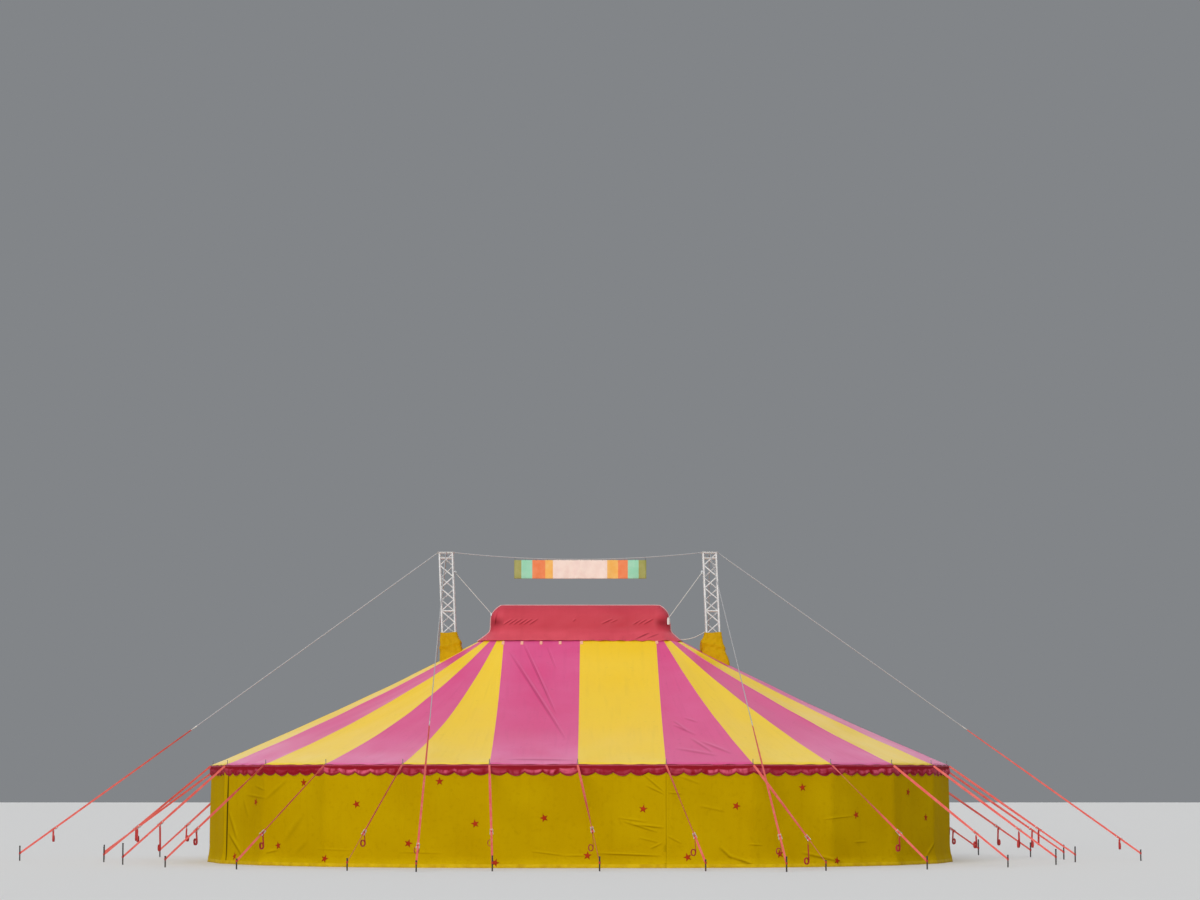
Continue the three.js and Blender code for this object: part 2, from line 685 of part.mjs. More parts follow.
// Slack line from the rim of the right boot to the skirt of the cover
function slackLine() {
  const high = BOOT_TOP + HOIST_RADIUS + CONTACT_GAP;
  const rim = mastAxis(1, BOOT_TOP).x - BOOT_TOP_HALF;
  const end = coverFace(SLACK_LINE_PLACE, SLACK_LINE_LOW - HOIST_RADIUS)[0].x + CONTACT_GAP;
  const points = Array.from({ length: SLACK_LINE_STEPS + 1 }, (_, i) => {
    const share = i / SLACK_LINE_STEPS;
    const sag = SLACK_LINE_SAG * 4 * share * (1 - share);
    return new THREE.Vector3(end + (rim - end) * share, 0,
      SLACK_LINE_LOW + (high - SLACK_LINE_LOW) * share - sag);
  });
  points.push(new THREE.Vector3(rim + BOOT_THICKNESS, 0, high));
  return hangingLine(points, HOIST_RADIUS * 2);
}

function banner() {
  const top = ridgePoint(0.5).z - CABLE_WIDTH / 2 - CONTACT_GAP;
  return block([BANNER_LENGTH, BANNER_THICKNESS, BANNER_HEIGHT],
    new THREE.Vector3(0, 0, top - BANNER_HEIGHT / 2));
}

for (let bay = 0; bay < BAYS; bay += 1) {
  const number = String(bay + 1).padStart(2, '0');
  const finish = bay % 2 ? PINK : YELLOW;
  const [panel, top] = roofPanel(bay);
  addPiece(`roof_panel_${number}`, panel, finish);
  if (top) addPiece(`roof_panel_${number}_top`, top, finish);
}
WALL_NAMES.forEach((name, i) => {
  addPiece(name, wallCurtain(WALL_SEAMS[i], WALL_SEAMS[i + 1]), YELLOW);
});
addPiece('side_poles', sidePoles(), STEEL);
addPiece('valance', valance(), RED);
GUY_GROUPS.forEach((name, i) => {
  addPiece(name, eaveGuys(GUY_BREAKS[i], GUY_BREAKS[i + 1]), WEBBING);
});
for (const [side, word] of [[-1, 'left'], [1, 'right']]) {
  addPiece(`mast_${word}`, latticeMast(side), ALUMINIUM);
  addPiece(`mast_guys_${word}`, mastGuys(side), WEBBING);
  addPiece(`mast_boot_${word}`, mastBoot(side), YELLOW);
}
addPiece('cupola_frame', cupolaFrame(), STEEL);
addPiece('cupola_cover', cupolaCover(), RED);
addPiece('hoist_line_left', hoistLine(-1, LEFT_SHACKLE), STEEL);
addPiece('hoist_line_right', hoistLine(1, RIGHT_PULLEY), STEEL);
addPiece('slack_rope', slackLine(), STEEL);
addPiece('ridge_cable', ridgeCable(), STEEL);
addPiece('banner', banner(), PINK);

export default tent;
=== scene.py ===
# %% [markdown]
# # A circus big top, dressed round its solids
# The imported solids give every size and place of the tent, in metres, with the ground at z = 0 and the
# front towards -Y. This lesson lays the real surfaces over them: canvas, webbing, rope, tube and cloth.
# Each surface is a formula on a grid, so a change of one number reshapes the whole piece.

# %% Load the solids
import math

import bmesh
import bpy
import numpy as np
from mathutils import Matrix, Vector


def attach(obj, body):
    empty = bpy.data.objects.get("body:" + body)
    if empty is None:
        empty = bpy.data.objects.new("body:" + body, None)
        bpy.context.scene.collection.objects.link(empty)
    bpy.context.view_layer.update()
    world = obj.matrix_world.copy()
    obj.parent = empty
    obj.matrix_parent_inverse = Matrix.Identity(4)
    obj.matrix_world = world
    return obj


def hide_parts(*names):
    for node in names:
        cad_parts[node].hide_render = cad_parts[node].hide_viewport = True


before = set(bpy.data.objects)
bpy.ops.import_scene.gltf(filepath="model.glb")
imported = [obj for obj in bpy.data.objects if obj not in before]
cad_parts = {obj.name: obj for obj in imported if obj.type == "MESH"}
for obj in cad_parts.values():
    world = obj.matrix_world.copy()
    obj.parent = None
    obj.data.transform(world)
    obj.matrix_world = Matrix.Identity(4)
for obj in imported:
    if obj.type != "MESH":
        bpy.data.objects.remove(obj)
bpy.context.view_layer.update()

# %% [markdown]
# ## The view
# A tent of 30 m is seen from 91 m away with a long lens, so its far side looks almost as large as its
# near side. The lens is worked out from the picture's width of 1200 pixels: a focal length of 3400 of
# those pixels is 102 mm on a 36 mm sensor. The camera is at 2.08 m and looks up by 5.58 degrees.

# %% Camera
PICTURE_WIDTH = 1200
FOCAL_PIXELS = 3400
camera_data = bpy.data.cameras.new("camera")
camera_data.sensor_width = 36.0
camera_data.lens = FOCAL_PIXELS / PICTURE_WIDTH * camera_data.sensor_width
camera_data.clip_end = 1000.0
camera = bpy.data.objects.new("camera", camera_data)
camera.location = (0.70, -91.0, 2.083)
camera.rotation_euler = (math.radians(95.578), 0.0, math.radians(0.1076))
bpy.context.scene.collection.objects.link(camera)
bpy.context.scene.camera = camera
print("lens", camera_data.lens, "mm")

# %% [markdown]
# ## Light and floor
# The tent stands under an overcast sky, which is one huge soft lamp overhead, with a little light from all
# sides. A wide lamp from the front, a little to the left, lights the walls, so that they grow darker
# towards the ends. A third one, low behind the tent, gives the canvas its pale gloss near the eave.
# The floor is one plain plane.

# %% World, sun and floor
world = bpy.data.worlds.new("overcast")
world.use_nodes = True
world.node_tree.nodes["Background"].inputs["Color"].default_value = (0.86, 0.90, 0.95, 1.0)
world.node_tree.nodes["Background"].inputs["Strength"].default_value = 0.26
bpy.context.scene.world = world


def add_sun(name, strength, spread_degrees, tilt, colour):
    """A sun lamp turned by the angles in tilt, in degrees; the wider its spread, the softer its shadows."""
    data = bpy.data.lights.new(name, "SUN")
    data.energy = strength
    data.angle = math.radians(spread_degrees)
    data.color = colour
    lamp = bpy.data.objects.new(name, data)
    lamp.rotation_euler = [math.radians(angle) for angle in tilt]
    bpy.context.scene.collection.objects.link(lamp)


add_sun("sky_overhead", 0.86, 90, (14, 4, 0), (1.0, 0.98, 0.95))
add_sun("sky_front", 1.90, 40, (72, 0, -19), (1.0, 0.99, 0.97))
add_sun("sky_behind", 0.70, 60, (-66, 0, 0), (0.94, 0.97, 1.0))
bpy.context.scene.view_settings.view_transform = "Standard"

FLOOR_HALF = 260.0
floor_mesh = bpy.data.meshes.new("floor")
floor_corners = [(-1, -1), (1, -1), (1, 1), (-1, 1)]
floor_mesh.from_pydata([(x * FLOOR_HALF, y * FLOOR_HALF, 0) for x, y in floor_corners], [], [(0, 1, 2, 3)])
floor = bpy.data.objects.new("floor", floor_mesh)
bpy.context.scene.collection.objects.link(floor)

# %% [markdown]
# ## Surfaces on a grid
# Every piece below is a grid of points: rows along one parameter and columns along another. A shape is
# kept as four arrays: its points, its four-cornered faces, a flat coordinate in metres for each corner
# of a face, and the number of the finish of each face. Arrays join quickly and need no loops.


# %% Shapes from grids
def grid_shape(points, flat, finish=0, wrap_columns=False, wrap_rows=False):
    """Faces between the neighbours in a grid of points. On a wrapped side, the last line of the grid
    repeats the first, and the two are joined."""
    rows, columns = points.shape[:2]
    real_rows, real_columns = rows - wrap_rows, columns - wrap_columns
    number = ((np.arange(rows) % real_rows)[:, None] * real_columns
              + (np.arange(columns) % real_columns)[None, :])

    def corners(grid):
        return np.stack([grid[:-1, :-1], grid[:-1, 1:], grid[1:, 1:], grid[1:, :-1]], axis=2)

    faces = corners(number).reshape(-1, 4)
    finishes = np.broadcast_to(finish, (rows - 1, columns - 1)).reshape(-1)
    return {"points": points[:real_rows, :real_columns].reshape(-1, 3), "faces": faces,
            "flat": corners(flat).reshape(-1, 4, 2), "finish": finishes.astype(np.int32)}


def join_shapes(shapes):
    """One shape from several: each shape's face numbers are moved up by the points before it."""
    starts = np.cumsum([0] + [len(shape["points"]) for shape in shapes[:-1]])
    joined = {key: np.concatenate([shape[key] for shape in shapes])
              for key in ("points", "flat", "finish")}
    joined["faces"] = np.concatenate([shape["faces"] + start for shape, start in zip(shapes, starts)])
    return joined


def placed(shape, origin, across, along, up):
    """The shape with its x, y and z axes laid along three directions, and its zero at the origin."""
    axes = np.stack([np.asarray(axis, float) for axis in (across, along, up)])
    return dict(shape, points=shape["points"] @ axes + np.asarray(origin, float))


def unit(vector):
    """The vector, or each of an array of vectors, made one metre long."""
    vector = np.asarray(vector, float)
    return vector / np.linalg.norm(vector, axis=-1, keepdims=True)


# %% [markdown]
# ## Bars, tubes, straps and rope
# A bar is a cross-section carried along a path. At each point of the path the section stands square to
# the way the path runs there: across is that way crossed with a chosen up, and the second axis is across
# crossed with the way. The section has an even number of sides, so its two ends close with strips of
# four-cornered faces.


# %% Sections carried along paths
def round_section(radius, sides):
    """Points of a circle, going round once."""
    turn = np.arange(sides) / sides * 2 * math.pi
    return np.stack([np.cos(turn), np.sin(turn)], axis=-1) * radius


def flat_section(width, thickness):
    """Corners of a strap: width across and thickness through it."""
    w, t = width / 2, thickness / 2
    return np.array([[w, -t], [w, t], [-w, t], [-w, -t]])


def cap_faces(sides):
    """Four-cornered faces that fill a polygon with an even number of sides, as strips across it."""
    low = np.arange(sides // 2 - 1)
    return np.stack([low, low + 1, sides - 2 - low, sides - 1 - low], axis=-1)


def tube(points, flat, finish):
    """Faces between rings of points, with a cap on the first and on the last ring."""
    shape = grid_shape(points, flat, finish, wrap_columns=True)
    sides = points.shape[1] - 1
    caps = cap_faces(sides)
    ends = np.concatenate([caps[:, ::-1], caps + (len(points) - 1) * sides])
    return dict(shape, faces=np.concatenate([shape["faces"], ends]),
                flat=np.concatenate([shape["flat"], np.zeros((len(ends), 4, 2))]),
                finish=np.concatenate([shape["finish"], np.full(len(ends), finish, np.int32)]))


def distances(points):
    """Distance of each point from the first one, measured along the line through all of them."""
    return np.concatenate([[0], np.cumsum(np.linalg.norm(np.diff(points, axis=0), axis=1))])


def swept(path, way, across, section):
    """Rings of points, one at each point of the path, and their flat coordinates: the distance round the
    section and the distance along the path."""
    over = unit(np.cross(across, way))
    ring = np.vstack([section, section[:1]])
    points = path[:, None] + across[:, None] * ring[:, :1] + over[:, None] * ring[:, 1:]
    return points, np.stack(np.meshgrid(distances(ring), distances(path)), axis=-1)


def carried(path, section, up=(0, 0, 1), finish=0, across=None):
    """The section carried along the path and closed at both ends."""
    path = np.asarray(path, float)
    way = unit(np.gradient(path, axis=0))
    if across is None:
        across = unit(np.cross(way, up))
    return tube(*swept(path, way, across, section), finish)


def looped(path, section, finish=0, up=(0, 0, 1)):
    """The section carried round a closed path of points."""
    way = unit(np.roll(path, -1, axis=0) - np.roll(path, 1, axis=0))
    across = unit(np.cross(way, up))
    closed = np.arange(len(path) + 1) % len(path)
    points, flat = swept(path[closed], way[closed], across[closed], section)
    return grid_shape(points, flat, finish, wrap_columns=True, wrap_rows=True)


def straight(start, end, section, up=(0, 0, 1), finish=0, steps=1):
    """A straight bar between two points."""
    share = np.linspace(0, 1, steps + 1)[:, None]
    path = np.asarray(start, float) * (1 - share) + np.asarray(end, float) * share
    return carried(path, section, up, finish)


def turned(profile, centre, sides=16, finish=0):
    """A profile of (radius, height) pairs turned round an upright axis, closed by its two end rings."""
    profile = np.asarray(profile, float)
    turn = np.linspace(0, 2 * math.pi, sides + 1)
    points = np.stack([profile[:, :1] * np.cos(turn), profile[:, :1] * np.sin(turn),
                       np.broadcast_to(profile[:, 1:], (len(profile), sides + 1))], axis=-1)
    flat = np.stack(np.meshgrid(turn * 0.05, profile[:, 1]), axis=-1)
    return tube(points + np.asarray(centre, float), flat, finish)


def cut_corners(half, rise, near, low):
    """A rectangle with its corners cut off: its sides are half and rise from its middle, and the cuts
    leave near of half its width and low of half its height."""
    return np.array([(half, -low), (half, low), (near, rise), (-near, rise),
                     (-half, low), (-half, -low), (-near, -rise), (near, -rise)])


# %% [markdown]
# ## From shape to piece
# A shape becomes a Blender mesh in one step, with its flat coordinates as a UV map in metres for weave
# and stitching. Closed shapes get their faces turned outwards. A cloth is drawn as a single surface and
# then given its thickness by Solidify, which also closes its edges.


# %% Pieces
def make_piece(name, shape, finishes, nodes=(), cloth=None, sharp_degrees=40, merge=0.0, folds=()):
    """Puts a shape, or a list of shapes as one, into the scene as a piece that stands for the named
    solids. cloth is the thickness of a sheet that was drawn as one surface; without it, the shape is a
    closed one."""
    if isinstance(shape, list):
        shape = join_shapes(shape)
    mesh = bpy.data.meshes.new(name)
    mesh.from_pydata(shape["points"], [], shape["faces"])
    layer = mesh.uv_layers.new(name="flat")
    layer.data.foreach_set("uv", shape["flat"].astype(np.float32).ravel())
    for finish in finishes:
        mesh.materials.append(finish)
    mesh.polygons.foreach_set("material_index", shape["finish"])
    mesh.polygons.foreach_set("use_smooth", np.ones(len(mesh.polygons), bool))
    work = bmesh.new()
    work.from_mesh(mesh)
    if merge:
        bmesh.ops.remove_doubles(work, verts=work.verts, dist=merge)
    bmesh.ops.recalc_face_normals(work, faces=work.faces)
    if cloth is not None:
        turn_cloth_outwards(work)
    if folds:
        raise_folds(work, folds)
    work.to_mesh(mesh)
    work.free()
    mesh.set_sharp_from_angle(angle=math.radians(sharp_degrees))
    mesh.validate()
    piece = bpy.data.objects.new(name, mesh)
    bpy.context.scene.collection.objects.link(piece)
    if cloth is not None:
        solidify = piece.modifiers.new("cloth thickness", "SOLIDIFY")
        solidify.thickness = cloth
        solidify.offset = -1.0
    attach(piece, "root")
    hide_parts(*nodes)
    print(name, len(mesh.polygons), "faces")
    return piece


TENT_MIDDLE = Vector((0.0, 0.0, 1.0))


def turn_cloth_outwards(work):
    """Turns an open sheet so that most of its area faces away from the middle of the tent at z = 1."""
    score = sum(face.calc_area() * face.normal.dot(
        (face.calc_center_median() - TENT_MIDDLE).normalized()) for face in work.faces)
    if score < 0:
        bmesh.ops.reverse_faces(work, faces=work.faces)


def cloth_area(shape):
    """Area of a shape's faces in square metres: half the length of the crossed diagonals of each."""
    a, b, c, d = (shape["points"][shape["faces"][:, i]] for i in range(4))
    return float(np.linalg.norm(np.cross(c - a, d - b), axis=1).sum() / 2)


# %% [markdown]
# ## The plan of the tent
# The plan has 26 straight bays: two on each long side and eleven round each end, so every corner is on a
# half circle about one of two centres. Place 0 is the middle of the front, places grow towards the right
# end, and 13 is the middle of the back. A place with a fraction is a point on the straight line between
# two corners, as the canvas is pulled straight between two side poles.

# %% Plan
END_BAYS = 11
BAYS = 26
HALF_BAYS = BAYS // 2
POLE_LINE = 7.58
BAY = 2 * POLE_LINE * math.sin(math.pi / (2 * END_BAYS))
EAVE = 2.52


def plan_corner(number, radius, half_length):
    """Corner of the plan: radius out from the nearer of two centres that lie half_length from the middle."""
    k = np.mod(number, BAYS)
    right = k < HALF_BAYS
    turn = math.pi / END_BAYS * (np.where(right, k, k - HALF_BAYS) - 1)
    side = np.where(right, 1.0, -1.0)
    middle = (k == 0) | (k == HALF_BAYS)
    x = np.where(middle, 0.0, side * (half_length + radius * np.sin(turn)))
    y = np.where(middle, np.where(k == 0, -radius, radius), -side * radius * np.cos(turn))
    return np.stack([x, y], axis=-1)


def plan_point(place, radius, half_length):
    """Point on the straight side between the two corners on either side of a place."""
    before = np.floor(place + 1e-9)
    share = (place - before)[..., None]
    return (plan_corner(before, radius, half_length) * (1 - share)
            + plan_corner(before + 1, radius, half_length) * share)


def eave_point(place, offset, height):
    """Point this far outside the line of the side poles, at this height."""
    place, offset, height = np.broadcast_arrays(
        np.asarray(place, float), np.asarray(offset, float), np.asarray(height, float))
    flat = plan_point(place, POLE_LINE + offset, BAY)
    return np.concatenate([flat, height[..., None]], axis=-1)


print("bay width", round(BAY, 4), "m, length of the pole line", round(BAY * BAYS, 2), "m")

# %% [markdown]
# ## Finishes
# Coated canvas is a woven cloth under a thin plastic skin. Its finish has four layers: the dye, slow
# fading and dirt from noise, a fine weave in the bump, and a weak gloss. Over the dye it also carries
# painted light: painted shade on the lower side of each fold, a painted highlight on its upper side, and
# on the roofs and walls a paler stretch along the cloth. The noise reads Object coordinates, so it stays
# still on the cloth, and the weave reads the flat coordinates, so that its threads follow each strip.


# %% Node helpers
class Finish:
    """A new material, with short ways to add nodes and wires to it. place gives Object coordinates, flat
    the flat ones in metres, parts the x, y and z of either, and grain a plain noise."""

    def __init__(self, name):
        self.material = bpy.data.materials.new(name)
        self.material.use_nodes = True
        self.tree = self.material.node_tree

    def put(self, socket, value):
        """Gives a socket a wire, a number or a colour."""
        if isinstance(value, bpy.types.NodeSocket):
            self.tree.links.new(value, socket)
        else:
            socket.default_value = (*value, 1.0) if socket.type == "RGBA" else value

    def add(self, kind, inputs=None, **settings):
        node = self.tree.nodes.new(kind)
        for key, value in settings.items():
            setattr(node, key, value)
        for key, value in (inputs or {}).items():
            self.put(node.inputs[key], value)
        return node

    def place(self):
        return self.add("ShaderNodeTexCoord").outputs["Object"]

    def flat(self):
        return self.add("ShaderNodeUVMap", uv_map="flat").outputs[0]

    def parts(self, vector):
        return self.add("ShaderNodeSeparateXYZ", {0: vector}).outputs

    def sum(self, kind, first, second=0.0, clamp=False):
        """One sum of two numbers: ADD, MULTIPLY, SUBTRACT and so on."""
        return self.add("ShaderNodeMath", {0: first, 1: second}, operation=kind, use_clamp=clamp).outputs[0]

    def times(self, first, second, clamp=False):
        return self.sum("MULTIPLY", first, second, clamp)

    def ramp(self, value, low, high, start=0.0, end=1.0, kind="LINEAR"):
        """A number that goes from start to end as the value goes from low to high."""
        return self.add("ShaderNodeMapRange", {"Value": value, "From Min": low, "From Max": high,
                                               "To Min": start, "To Max": end},
                        interpolation_type=kind).outputs[0]

    def grain(self, where, scale, detail, distortion=0.0):
        return self.add("ShaderNodeTexNoise", {"Vector": where, "Scale": scale, "Detail": detail,
                                               "Distortion": distortion}).outputs[0]

    def noise(self, where, scale, low, high, detail=4.0, stretch=None):
        """A share that is 0 where the noise is under low and 1 where it is over high."""
        if stretch:
            where = self.add("ShaderNodeMapping", {"Vector": where, "Scale": stretch}).outputs[0]
        return self.ramp(self.grain(where, scale, detail), low, high)

    def mix(self, share, first, second):
        """A colour that goes from the first to the second as the share goes from 0 to 1."""
        return self.add("ShaderNodeMix", {0: share, 6: first, 7: second}, data_type="RGBA").outputs[2]

    def bands(self, where, scale, axis="X"):
        """Waves along one axis, 0.314 / scale metres apart."""
        return self.add("ShaderNodeTexWave", {"Vector": where, "Scale": scale},
                        bands_direction=axis).outputs[1]

    def weave(self, scale):
        """Height of a weave: bands along both flat coordinates, added."""
        flat = self.flat()
        return self.sum("ADD", self.bands(flat, scale, "X"), self.bands(flat, scale, "Y"))

    def surface(self, colour, roughness, height, strength, distance, shine=0.5, metallic=0.0):
        """Gives all of it to the shader, with the height as a bump, and returns the material."""
        bump = self.add("ShaderNodeBump", {"Height": height, "Strength": strength, "Distance": distance})
        shader = self.tree.nodes["Principled BSDF"].inputs
        for key, value in {"Base Color": colour, "Roughness": roughness, "Normal": bump.outputs[0],
                           "Specular IOR Level": shine, "Metallic": metallic}.items():
            self.put(shader[key], value)
        return self.material


# %% Coated canvas
# Painted shade, nearly black, for an open gap between curtains.
PAINTED_GAP_SHADE = (0.045, 0.028, 0.003)


def coated_canvas(name, dye, faded_and_lit, dirty, painted_fold_shade, gloss=0.38, shine=0.30, paler_along=None, dirt_low=0.62,
                  creases=0.0, less_pale_stretch=None):
    """Coated canvas: dye that fades and soils in patches. Each fold adds painted shade on its lower side and
    a painted highlight on its upper side, and an open gap gets painted shade, nearly black. The threads are
    3 mm apart. Two distances along the strip, if given, are where the cloth goes from its pale tone to its
    dye, and the x of a stretch that keeps less of the pale tone may be given, with half its length. The
    pale tone is both faded dye and painted light."""
    finish = Finish(name)
    place, flat = finish.place(), finish.flat()
    fading = finish.noise(place, 0.7, 0.35, 0.75)
    colour = finish.mix(finish.times(fading, 0.35), dye, faded_and_lit)
    # Patchily paler between two distances along the cloth, palest at the first: painted light on the roofs
    # and walls, and real fading too on the roofs.
    if paler_along:
        share = finish.ramp(finish.parts(flat)[1], *paler_along, 1.0, 0.0, "SMOOTHSTEP")
        patchy = finish.times(share, finish.noise(place, 1.1, 0.1, 0.65))
        if less_pale_stretch:
            middle, half = less_pale_stretch
            beside = finish.sum("ABSOLUTE", finish.sum("SUBTRACT", finish.parts(place)[0], middle))
            patchy = finish.times(patchy, finish.ramp(beside, half, half + 0.6, 0.1))
        colour = finish.mix(finish.times(patchy, 0.75), colour, faded_and_lit)
    run_off = finish.noise(flat, 2.2, 0.52, 0.80, stretch=(3.0, 0.28, 1.0))
    spots = finish.noise(place, 9.0, dirt_low, 0.85, detail=8.0)
    # Painted shade and highlight of the folds, read from the mesh: painted shade on a fold's lower side, a
    # painted highlight on its upper side, and painted shade, nearly black, where the value passes 1 in an
    # open gap.
    fold_shading = finish.add("ShaderNodeAttribute", attribute_name="fold_shading").outputs["Fac"]
    for share, tone in ((finish.times(run_off, 0.16), dirty), (finish.times(spots, 0.4), dirty),
                        (finish.times(fold_shading, 0.9, clamp=True), painted_fold_shade),
                        (finish.times(fold_shading, -0.9, clamp=True), faded_and_lit),
                        (finish.sum("SUBTRACT", fold_shading, 1.0, clamp=True), PAINTED_GAP_SHADE)):
        colour = finish.mix(share, colour, tone)
    height = finish.times(finish.weave(100.0), 0.0002)
    if creases:
        ridge = finish.sum("ABSOLUTE", finish.sum("SUBTRACT", finish.grain(place, 3.4, 5.0, 1.6), 0.5))
        height = finish.sum("ADD", height, finish.times(ridge, creases))
    return finish.surface(colour, finish.ramp(fading, 0, 1, gloss, gloss + 0.2), height, 0.25, 1.0, shine)


# Both roofs turn paler towards the eave: partly fading and dust, partly a painted sheen of the sky on the
# low, flatter ends of the strips. On the pink roof the stretch round x = 3.2 keeps less of it.
roof_yellow = coated_canvas("roof_canvas_yellow", (0.90, 0.585, 0.006), (0.91, 0.665, 0.085),
                            (0.60, 0.40, 0.03), (0.66, 0.36, 0.004), paler_along=(0.0, 3.6))
roof_pink = coated_canvas("roof_canvas_pink", (0.70, 0.056, 0.225), (0.80, 0.23, 0.45),
                          (0.42, 0.04, 0.15), (0.36, 0.008, 0.09), paler_along=(0.0, 3.2), less_pale_stretch=(3.2, 1.2))
# The walls' dye is a darker copy of the roof's yellow, which is painted shade on the upright walls. Their
# foot is patchily paler up to 0.30 m, which is painted light where the cloth turns out towards the sky.
wall_yellow_shaded = coated_canvas("wall_canvas_yellow", (0.44, 0.272, 0.0), (0.60, 0.41, 0.002),
                            (0.32, 0.18, 0.0), (0.24, 0.135, 0.0), gloss=0.6, shine=0.005,
                            paler_along=(0.04, 0.30), dirt_low=0.55, creases=0.012)
print("canvas finishes made")

# %% [markdown]
# ## Roof canvas
# The roof is 26 tapered strips of canvas, welded edge to edge and pulled between the eave and a ring under
# the cupola. One continuous sheet carries them all, and only the finish changes at each seam. Along a
# strip the cloth runs from the eave to the ring and sags by a parabola, most at the front left, where the
# photograph shows the roof slackest.

# %% Roof surface
CANVAS_OVERHANG = 0.055
RING_RADIUS, RING_HALF_LENGTH, RING_HEIGHT = 0.55, 2.02, 5.90
SAG_FRONT_LEFT, SAG_FRONT_RIGHT, SAG_ENDS = 0.40, 0.19, 0.09


def canvas_sag(place):
    """Depth of the sag at the middle of the canvas: a mix of the front left's and the front right's depth
    by x, which gives way to the ends' depth with the square of the share of the way to the end."""
    x = eave_point(place, 0.0, 0.0)[..., 0]
    left = np.clip(0.5 - 0.5 * x / (BAY * 2), 0, 1)
    full = SAG_FRONT_RIGHT + (SAG_FRONT_LEFT - SAG_FRONT_RIGHT) * left
    end = np.clip((np.abs(x) - BAY) / POLE_LINE, 0, 1)
    return full + (SAG_ENDS - full) * end ** 2


def roof_point(place, share):
    """Point on the canvas: a straight line from the eave, share 0, to the ring, share 1, lowered by
    4 sag share (1 - share)."""
    place, share = np.broadcast_arrays(np.asarray(place, float), np.asarray(share, float))
    eave = eave_point(place, CANVAS_OVERHANG, EAVE)
    ring = np.concatenate([plan_point(place, RING_RADIUS, RING_HALF_LENGTH),
                           np.full(place.shape + (1,), RING_HEIGHT)], axis=-1)
    point = eave * (1 - share[..., None]) + ring * share[..., None]
    point[..., 2] -= canvas_sag(place) * 4 * share * (1 - share)
    return point


# %% [markdown]
# ## Folds in cloth
# A fold is a low ridge along a line. Its height falls off with the distance from the line as a bell
# curve, and towards both ends of the line. Drawn in the upright plane that faces the front, a fold can be
# placed where it shows, and the same fold turned by half a turn gives the back its own. The cloth's faces
# are too large to bend that sharply, so those near a line are halved until they are small enough.
# Beside each fold the cloth also gets painted shade on its lower side and a painted highlight on its upper
# side.


# %% Fold helpers
FULL_FOLD = 0.015
LARGEST_FACE = 0.72


def beside_line(points, line):
    """How far each point lies beside a fold's line, with its left side positive, the share of the way
    along it, and the way itself. The points on the back are turned to the front first."""
    start, end = np.asarray(line[0], float), np.asarray(line[1], float)
    way = end - start
    length = math.hypot(*way)
    way = way / length
    x = points[..., 0] * np.where(points[..., 1] < 0, 1.0, -1.0) - start[0]
    z = points[..., 2] - start[1]
    return z * way[0] - x * way[1], (x * way[0] + z * way[1]) / length, length, way


def fold_at(points, lines):
    """Height of the folds at each point, and their painted shading: painted shade as a bell curve beside
    the line on its lower side, less half of one on its upper side as a painted highlight, as deep folds are
    darker below. A line's fifth number, if it has one, is further painted shade for an open gap."""
    height, fold_shading = np.zeros(points.shape[:-1]), np.zeros(points.shape[:-1])
    for line in lines:
        aside, share, _, way = beside_line(points, line)
        width, depth, *gap = line[2:]
        along = np.sin(math.pi * np.clip(share, 0, 1)) ** 0.6
        below = aside / width * (1 if way[0] >= 0 else -1)
        height += depth * along * np.exp(-(aside / width) ** 2)
        strength = min(1.0, depth / FULL_FOLD)
        fold_shading += along * ((strength + sum(gap)) * np.exp(-(2 * below + 1) ** 2)
                           - 0.5 * strength * np.exp(-(2 * below - 1.4) ** 2))
    return height, fold_shading


def near_fold(middles, sizes, lines):
    """True for the faces that a fold runs through and that are still too large for its width."""
    near = np.zeros(len(middles), bool)
    for line in lines:
        aside, share, length, _ = beside_line(middles, line)
        past_end = (share - np.clip(share, 0, 1)) * length
        reach = 1.6 * line[2] + 0.6 * sizes
        near |= (np.hypot(aside, past_end) < reach) & (sizes > LARGEST_FACE * line[2])
    return near


def raise_folds(work, lines):
    """Halves the faces near the lines twice, moves every point along its normal by the height of the
    folds there, and keeps their painted shade and highlight as an attribute for the colour."""
    for _ in range(2):
        middles = np.array([face.calc_center_median() for face in work.faces])
        sizes = np.sqrt([face.calc_area() for face in work.faces])
        near = near_fold(middles, sizes, lines)
        edges = {edge for face, close in zip(work.faces, near) if close for edge in face.edges}
        bmesh.ops.subdivide_edges(work, edges=list(edges), cuts=1, use_grid_fill=True)
    work.normal_update()
    # The attribute, and creases below, hold the folds' painted shade and highlight.
    layer = work.verts.layers.float.new("fold_shading")
    heights, creases = fold_at(np.array([vertex.co for vertex in work.verts]), lines)
    moves = [vertex.normal * height for vertex, height in zip(work.verts, heights)]
    for vertex, move, fold_shading in zip(work.verts, moves, creases):
        vertex.co += move
        vertex[layer] = fold_shading


def ripple(*waves):
    """Sum of slow waves, each given as its value in turns and its height."""
    return sum(height * np.sin(2 * math.pi * turns) for turns, height in waves)


# %% Roof details
STRIP_COLUMNS, ROOF_ROWS = 18, 56
SEAM_LAP, SEAM_RISE = 0.013, 0.004
STRIP_BELLY, STRIP_LENGTH = 0.020, 7.9
inner_columns = np.linspace(SEAM_LAP * 2, 1 - SEAM_LAP, STRIP_COLUMNS - 1)
strip_shares = np.concatenate([[0.0, SEAM_LAP], inner_columns])
roof_places = np.append((np.arange(BAYS)[:, None] + strip_shares[None, :]).ravel(), BAYS)
roof_shares = np.linspace(0, 1, ROOF_ROWS + 1) ** 0.92

